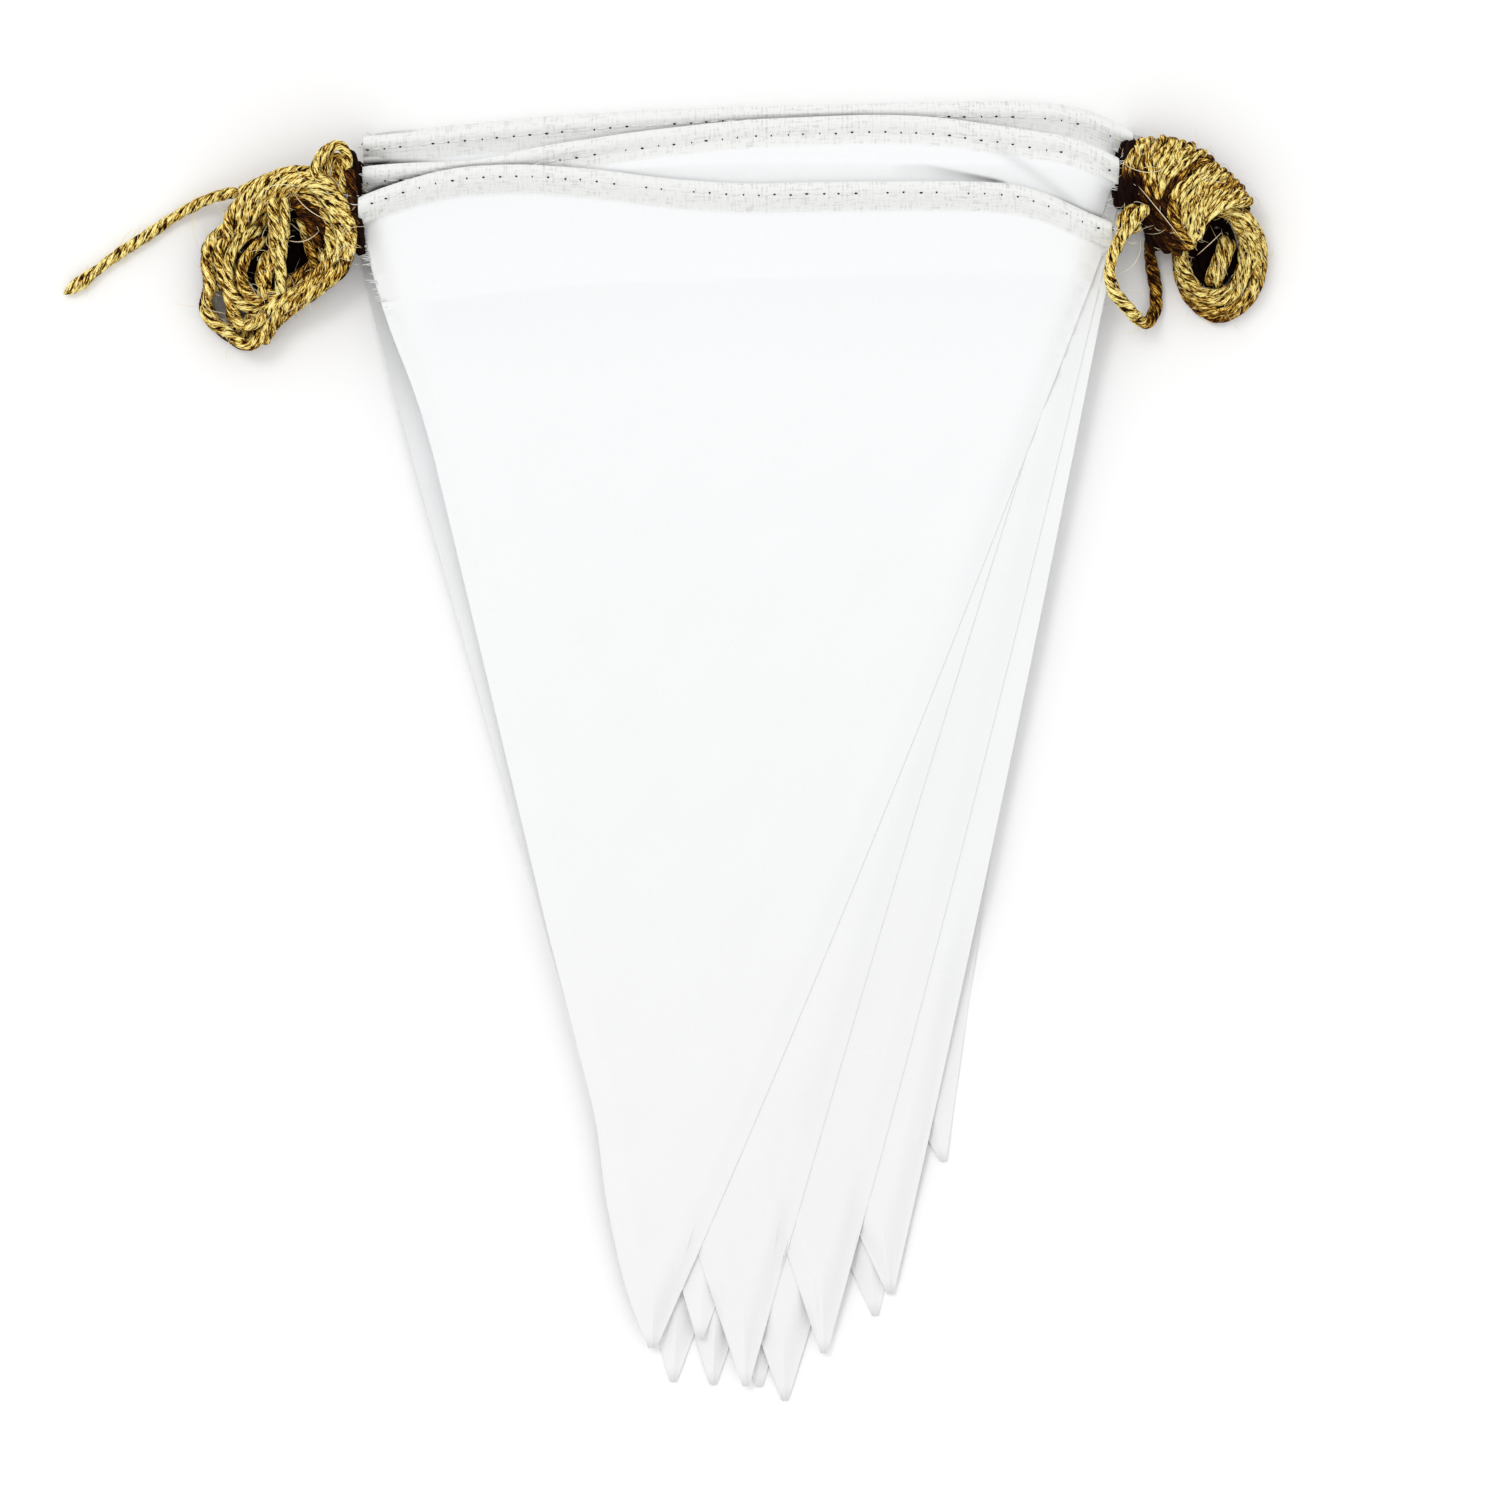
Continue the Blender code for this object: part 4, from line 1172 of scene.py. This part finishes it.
# %% [markdown]
# The photograph's few dark places on the cloth are narrow clefts: next to a casing that lies on it,
# and in two folds on the second pennant. Light in the scene is broad and soft and would not darken them
# enough, so a mark on the mesh does.

# %% Dark clefts
CONTACT = {
    2: (1, ((-103.0, 1.3), (-98.0, 1.2), (-92.0, 0.95), (-84.0, 0.7), (-60.0, 0.50), (-40.0, 0.34),
            (-20.0, 0.20), (0.0, 0.10), (60.0, 0.05), (82.0, 0.10), (90.0, 0.42), (100.0, 0.85))),
    3: (2, ((-103.0, 1.2), (-95.0, 1.1), (-88.0, 0.7), (-80.0, 0.14), (-60.0, 0.08), (-46.0, 0.25),
            (-28.0, 0.44), (0.0, 0.52), (30.0, 0.52), (52.0, 0.32), (70.0, 0.15), (100.0, 0.06))),
}
CONTACT_HEIGHT = 0.2
CONTACT_WIDTHS = ((-103.0, 1.5), (-98.0, 1.2), (-92.0, 0.9), (-84.0, 0.6), (90.0, 0.55), (103.0, 0.8))
WEDGE = traced((880, 168), (925, 167), (960, 174), (1002, 183))[:, :2]
WEDGE_DARKNESS = (0.04, 0.13, 0.36, 0.95)
WEDGE_WIDTHS = (3.0, 3.2, 2.0, 0.6)
WEDGE_TOP_WIDTH = 0.5
BAND = traced((996, 150), (1022, 166), (1050, 186), (1076, 208))[:, :2]
BAND_DARKNESS = 0.15
BAND_WIDTH = 1.8
LEFT_STRIP = ((-90.0, 0.0), (30.0, 0.0), (60.0, 0.05), (92.0, 0.10), (112.0, 0.22), (130.0, 0.30),
              (145.0, 0.30))
STRIP_WIDTH = 14.0
STRIP_FADE = 6.0
print("wedge from", WEDGE[0].round(1), "to", WEDGE[-1].round(1), "mm")


def between_ends(x, first, grows_over, last, fades_over):
    """0 left of first, growing to 1 over a distance, and fading back to 0 over another at last."""
    return smooth_step((x - first) / grows_over) * smooth_step((last - x) / fades_over)


def shade_marks(item, x, y):
    """Where little light reaches a cloth: next to the casing that lies on it, and in folds.

    The first is strength(x) exp(-(h/w)^2), with h the height above that casing's far side. A wedge and a
    band on the second pennant darken along a line through four points, by exp(-(d/w)^2) of the distance
    from it. The left margin of the lower pennants is duller, because the stack overhangs it.
    """
    number = item.pennant.number
    shade = 0.0 * x
    if number in CONTACT:
        upper, strengths = CONTACT[number]
        height = y - casing_line(PENNANTS[-upper], x) - CASING_RADIUS - CONTACT_HEIGHT
        shade = through(strengths, x) * np.exp(-(height / through(CONTACT_WIDTHS, x)) ** 2)
    if number == 2:
        across = y - np.interp(x, *WEDGE.T)
        width = np.where(across > 0.0, WEDGE_TOP_WIDTH, np.interp(x, WEDGE[:, 0], WEDGE_WIDTHS))
        inside = between_ends(x, WEDGE[0, 0], 8.0, WEDGE[-1, 0] + 0.8, 1.6)
        dark = np.interp(x, WEDGE[:, 0], WEDGE_DARKNESS)
        shade = shade + dark * inside * np.exp(-(across / width) ** 2)
        across = y - np.interp(x, *BAND.T)
        inside = between_ends(x, BAND[0, 0] - 4.0, 8.0, BAND[-1, 0] + 2.0, 3.0)
        shade = shade + BAND_DARKNESS * inside * np.exp(-(across / BAND_WIDTH) ** 2)
    if number > TOP_PENNANTS:
        inward = x - edge_x(item.pennant, -1, y)
        shade = shade + eased(y, LEFT_STRIP) * smooth_step((STRIP_WIDTH - inward) / STRIP_FADE)
    return np.clip(shade, 0.0, 1.0)


# %% [markdown]
# Followed from its hidden edge, the sheet runs under the casing, round the twine's far side, over its
# top, down to the line of stitches and on to the point. So the whole sheet is one grid: across the
# pennant in one direction and along that line in the other.

# %% A pennant as a grid
FLAP_ROWS = 5
TUBE_ROWS = 13
FRONT_ROWS = 9
EDGE_COLUMN = 0.0012
FINE_SHARE = 0.1
print("rows above a body:", FLAP_ROWS + TUBE_ROWS + FRONT_ROWS - 1)


def body_shares(count, fine):
    """Shares of the way from the casing to the point: even, or with half the rows in the first tenth."""
    if not fine:
        return np.linspace(0.0, 1.0, count)[1:, None] ** 1.25
    near = np.linspace(0.0, FINE_SHARE, count // 2)[1:]
    far = FINE_SHARE + (1.0 - FINE_SHARE) * np.linspace(0.0, 1.0, count // 2)[1:] ** 1.05
    return np.concatenate((near, far))[:, None]


def pennant_surface(item, columns, body_rows):
    """One pennant as a grid: flap, round of the casing, front of the casing and body, in that order."""
    pennant = item.pennant
    u = np.concatenate(([0.0, EDGE_COLUMN], np.linspace(0.0, 1.0, columns - 2)[1:-1],
                        [1.0 - EDGE_COLUMN, 1.0]))[None, :]
    ends = [edge_x(pennant, side, casing_line(pennant, np.array(x)))
            for side, x in ((-1, pennant.left_end), (1, pennant.right_end))]
    top_x = ends[0] + (ends[1] - ends[0]) * u
    line = casing_line(pennant, top_x)
    base = np.interp(top_x, GRID_X, item.base)

    flap = np.linspace(HEM, 0.3, FLAP_ROWS)[:, None]
    under = read(item.skin, top_x + 0.0 * flap, line - flap)
    near = smooth_step(1.0 - flap / 2.4)
    flap_z = under + CLOTH / 2.0 + (base - under) * near
    angle = np.linspace(-0.5 * np.pi, 0.5 * np.pi, TUBE_ROWS)[:, None]
    middle = CASING_RADIUS - CLOTH / 2.0
    tube_y = line + middle * np.cos(angle)
    tube_z = base + CASING_RADIUS + middle * np.sin(angle)
    front = np.linspace(0.0, FRONT_SLOPE, FRONT_ROWS)[1:, None]
    front_z = front_height(item, top_x + 0.0 * front, front)

    v = body_shares(body_rows, pennant.number <= TOP_PENNANTS)
    body_y = (line - FRONT_SLOPE) * (1.0 - v) + pennant.tip_y * v
    left, right = edge_x(pennant, -1, body_y), edge_x(pennant, 1, body_y)
    body_x = left + (right - left) * u
    body_z = body_height(item, body_x, body_y)

    x = np.vstack((top_x + 0.0 * flap, top_x + 0.0 * angle, top_x + 0.0 * front, body_x))
    y = np.vstack((line - flap, tube_y, line - front, body_y))
    z = np.vstack((flap_z, tube_z, front_z, body_z))
    points = np.stack((x, y, z), axis=-1)
    steps = np.linalg.norm(np.diff(points, axis=0), axis=-1)
    along = np.vstack((np.zeros((1, columns)), np.cumsum(steps, axis=0)))
    uv = np.stack((x, -along), axis=-1) * MM
    level = 0.0 * top_x
    below = np.vstack((level - flap, level + 0.0 * angle, level + front, line - body_y))
    hem = 1.0 - smooth_step((np.abs(below) - HEM + 0.3) / 1.2)
    faces = grid_faces(len(x), columns, False)
    width = np.linalg.norm(np.diff(points, axis=1), axis=-1).sum(axis=1)
    area = float((0.5 * (width[1:] + width[:-1]) * steps.mean(axis=1)).sum())
    marks = np.column_stack((hem.reshape(-1), shade_marks(item, x, y).reshape(-1)))
    return Surface(points.reshape(-1, 3), faces, uv.reshape(-1, 2), marks), along[-1].max(), area


# %% [markdown]
# Solidify gives each sheet its thickness. A vertex group leaves out the outermost columns, where only
# a share of the thickness stays. The three top pennants, which show most, get the finest grids.

# %% Pennants
TOP_GRID = (110, 140)
LOWER_GRID = (70, 84)
THIN_COLUMNS = 2
for item in laid:
    number = item.pennant.number
    size = TOP_GRID if number <= TOP_PENNANTS else LOWER_GRID
    surface, length, area = pennant_surface(item, *size)
    piece = make_piece(f"pennant_{number:02d}_cloth", surface, CLOTH_FINISH, ("hem", "shade"))
    thick = piece.modifiers.new("thickness", "SOLIDIFY")
    thick.thickness = THICKNESS * MM
    thick.offset = 0.0
    thick.use_even_offset = False
    inner = piece.vertex_groups.new(name="away_from_edges")
    columns = np.arange(len(surface.points)) % size[0]
    within = (columns >= THIN_COLUMNS) & (columns < size[0] - THIN_COLUMNS)
    inner.add(np.flatnonzero(within).tolist(), 1.0, "REPLACE")
    thick.vertex_group = inner.name
    thick.thickness_vertex_group = EDGE_THINNING
    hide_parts(f"pennant_{number:02d}")
    width = item.pennant.right_end - item.pennant.left_end
    width * MM
    print("pennant", number, "flat size", round(width, 1), "x", round(length, 1), "mm")

# %% [markdown]
# ## Stitches
#
# One row of machine stitches closes each casing. The thread is white like the cloth, so what shows most
# is the small dark hole that the needle leaves between two stitches: a rod whose dark colour is painted
# shade.

# %% Stitches
STITCH = 4.35
THREAD_RADIUS = 0.2
HOLE_LENGTH = 0.95
HOLE_RADIUS = 0.30
HOLE_LIFT = (0.0, 0.0, 0.05)
HIDDEN_HOLES = 0.12
SEAM_MARGIN = 1.5
THREAD_GAP = (0.55, 0.0, 0.0)
THREAD_BOW = (0.0, 0.0, 0.10)
STITCH_WANDER = 0.16
SEAM_WANDER = 0.08
HOLE_SHARES = (0.35, 1.15)
stitch_source = np.random.default_rng(3)
thread_rods, hole_shade_rods = [], []
for item in laid:
    pennant = item.pennant
    x = np.arange(pennant.left_end + SEAM_MARGIN, pennant.right_end - SEAM_MARGIN, STITCH)
    x = x + stitch_source.normal(0.0, STITCH_WANDER, len(x))
    away = stitch_distance(pennant) + stitch_source.normal(0.0, SEAM_WANDER, len(x))
    top = front_height(item, x, away) + 0.5 * THICKNESS
    seam = np.column_stack((x, casing_line(pennant, x) - away, top))
    holes = seam + HOLE_LIFT
    hole_share = stitch_source.uniform(*HOLE_SHARES, len(x))[:, None]
    half = np.array((0.5 * HOLE_LENGTH, 0.0, 0.0)) * hole_share
    shown = stitch_source.uniform(0.0, 1.0, len(x)) > HIDDEN_HOLES
    holes, half = holes[shown], half[shown]
    hole_shade_rods.append(rods(holes - half, holes + half, 0.0 * holes, HOLE_RADIUS, 5, 4))
    start, end = seam[:-1] + THREAD_GAP, seam[1:] - THREAD_GAP
    thread_rods.append(rods(start, end, np.full(start.shape, THREAD_BOW), THREAD_RADIUS, 5, 4))
make_piece("stitches", joined(thread_rods), WHITE_THREAD)
make_piece("needle_holes", joined(hole_shade_rods), NEEDLE_HOLE_SHADE)

# %% [markdown]
# ## Frayed ends
#
# The casings are cut off straight, so short white threads stand out over the dark twine at both sides.

# %% Frayed ends
Fray = namedtuple("Fray", "count reach_down")
FRAYS = {(1, -1): Fray(34, 26.0), (2, -1): Fray(16, 14.0), (3, -1): Fray(12, 9.0),
         (1, 1): Fray(10, 7.0), (2, 1): Fray(30, 20.0), (3, 1): Fray(20, 12.0)}
HIDDEN_FRAY = Fray(6, 6.0)
FRAY_LENGTHS = (1.2, 2.9)
FRAY_RADIUS = 0.15
FRAY_BEND = 0.25
FRAY_LEAN = 0.5
FRAY_LEAN_SHARES = (1.0, 1.0, 0.4)
FRAY_RISE = 0.5
FRAY_ROOT = 0.5
fray_source = np.random.default_rng(21)
fray_starts, fray_ends = [], []
for item in laid:
    for side, end_x in ((-1, item.pennant.left_end), (1, item.pennant.right_end)):
        count, reach_down = FRAYS.get((item.pennant.number, side), HIDDEN_FRAY)
        down = fray_source.uniform(-CASING_RADIUS, reach_down, count)
        y = casing_line(item.pennant, np.full(count, end_x)) - down
        x = edge_x(item.pennant, side, y) - side * FRAY_ROOT
        start = np.column_stack((x, y, front_height(item, x, np.abs(down)) + 0.2 * CLOTH))
        lean = fray_source.normal(0.0, FRAY_LEAN, (count, 3)) * FRAY_LEAN_SHARES
        reach = fray_source.uniform(*FRAY_LENGTHS, count)
        fray_starts.append(start)
        outward = np.column_stack((side * reach, 0.0 * reach, FRAY_RISE + 0.0 * reach))
        fray_ends.append(start + outward + lean)
fray_starts, fray_ends = np.vstack(fray_starts), np.vstack(fray_ends)
fray_bends = fray_source.normal(0.0, FRAY_BEND, fray_starts.shape)
fray_rods = rods(fray_starts, fray_ends, fray_bends, FRAY_RADIUS, 5, 3)
make_piece("frayed_threads", fray_rods, WHITE_THREAD)

# %% [markdown]
# ## Loose fibres
#
# Jute sheds fibres everywhere. Each is a thin arc that starts on a strand. Most are short and placed at
# random. Seven long ones, which show in the photograph, are given one by one: a start, an end and a bend.

# %% Loose fibres
FIBRE_RADIUS = 0.08
FIBRE_LENGTHS = (1.2, 12.0)
FIBRE_HEIGHTS = (0.3, 24.0)
FIBRE_SPREAD = (0.95, 0.6)
FIBRE_RISE = 0.10
FIBRE_BOW = 0.16
ARC_RADIUS = 0.14


def fibres_on(piece, count, lowest, source):
    """Fibres that start at random points of a piece above a height in mm, and arch away from it."""
    points = np.empty(len(piece.data.vertices) * 3)
    piece.data.vertices.foreach_get("co", points)
    points = points.reshape(-1, 3) / MM
    points = points[points[:, 2] > lowest]
    starts = points[source.integers(0, len(points), count)]
    turn = source.uniform(0.0, 2.0 * np.pi, count)
    length = np.clip(source.lognormal(*FIBRE_SPREAD, count), *FIBRE_LENGTHS)
    ends = starts + np.column_stack((length * np.cos(turn), length * np.sin(turn), FIBRE_RISE * length))
    ends[:, 2] = np.clip(ends[:, 2], *FIBRE_HEIGHTS)
    bends = source.normal(0.0, FIBRE_BOW, (count, 3)) * length[:, None]
    bends[:, 2] = np.abs(bends[:, 2]) * 0.5
    return rods(starts, ends, bends, FIBRE_RADIUS, 7, 3)


ARCS = (((306, 190, 19.0), (267, 203, 15.6), (-3.4, 2.4, 1.6)),
        ((288, 241, 15.0), (321, 231, 16.0), (0.5, -1.6, 1.0)),
        ((296, 196, 18.6), (330, 222, 17.6), (-0.6, -0.8, 0.8)),
        ((1120, 165, 20.4), (1166, 168, 19.0), (0.6, -2.2, 0.8)),
        ((1136, 187, 19.4), (1184, 245, 17.0), (-0.4, 0.6, 1.0)),
        ((1196, 256, 9.0), (1222, 232, 11.0), (0.6, 0.4, 1.0)),
        ((1168, 234, 16.0), (1190, 220, 16.0), (0.2, -1.2, 0.6)))
fibre_source = np.random.default_rng(17)
first, last, arc_bends = zip(*ARCS)
arc_starts, arc_ends = traced(*first), traced(*last)
loose_fibres = joined([
    fibres_on(left_hank, 520, 3.0, fibre_source), fibres_on(right_hank, 460, 3.0, fibre_source),
    fibres_on(loose_end, 24, 1.0, fibre_source), fibres_on(bight, 40, 1.0, fibre_source),
    rods(arc_starts, arc_ends, arc_bends, ARC_RADIUS, 12, 3)])
make_piece("loose_fibres", loose_fibres, FIBRE)

# %% [markdown]
# ## Twine in the casings
#
# The twine runs through each casing. It only shows at the ends, but it is there all the way.

# %% Twine runs
RUN_STANDS_OUT = 0.6
RUN_POINTS = 22
RUN_STEP = 1.6
RUN_SIDES = 12
# Painted shade: the twine shows only in the shadowed ends of the casings, so its light mark is low.
RUN_LIGHT = 0.25
runs = []
for item in laid:
    pennant = item.pennant
    x = np.linspace(pennant.left_end - RUN_STANDS_OUT, pennant.right_end + RUN_STANDS_OUT, RUN_POINTS)
    z = np.interp(x, GRID_X, item.base) + CASING_RADIUS
    route = smooth_route(np.column_stack((x, casing_line(pennant, x), z)), RUN_STEP)
    runs.append(twine_surface(route, RUN_LIGHT, sides=RUN_SIDES))
run_piece = make_piece("twine_in_casings", joined(runs), JUTE)
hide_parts(*[f"twine_run_{number:02d}" for number in range(1, 12)])

# %% [markdown]
# ## Floor and light
#
# The photograph's floor is pure white with a soft, short shadow to the lower right. A bright even sky
# lights everything, and one broad lamp high at the upper left makes the shadow.

# %% Floor and light
FLOOR_HALF = 1500.0
floor_data = bpy.data.meshes.new("floor")
far = FLOOR_HALF * MM
floor_data.from_pydata([(-far, -far, 0.0), (far, -far, 0.0), (far, far, 0.0), (-far, far, 0.0)],
                       [], [(0, 1, 2, 3)])
floor_data.materials.append(plain_finish("floor_white", (0.96, 0.96, 0.96), 1.0, 0.0))
floor = bpy.data.objects.new("floor", floor_data)
bpy.context.scene.collection.objects.link(floor)

SKY = 0.94
SUN = 0.56
SUN_WIDTH = 0.35
SUN_FROM = (-0.45, 0.42, 1.0)
world = bpy.data.worlds.new("studio")
world.use_nodes = True
sky = world.node_tree.nodes["Background"]
sky.inputs["Color"].default_value = (1.0, 1.0, 1.0, 1.0)
sky.inputs["Strength"].default_value = SKY
bpy.context.scene.world = world
sun_data = bpy.data.lights.new("lamp", "SUN")
sun_data.energy = SUN
sun_data.angle = SUN_WIDTH
sun = bpy.data.objects.new("lamp", sun_data)
sun.rotation_euler = Vector(SUN_FROM).to_track_quat("Z", "Y").to_euler()
bpy.context.scene.collection.objects.link(sun)

print("sky", SKY, "sun", SUN)
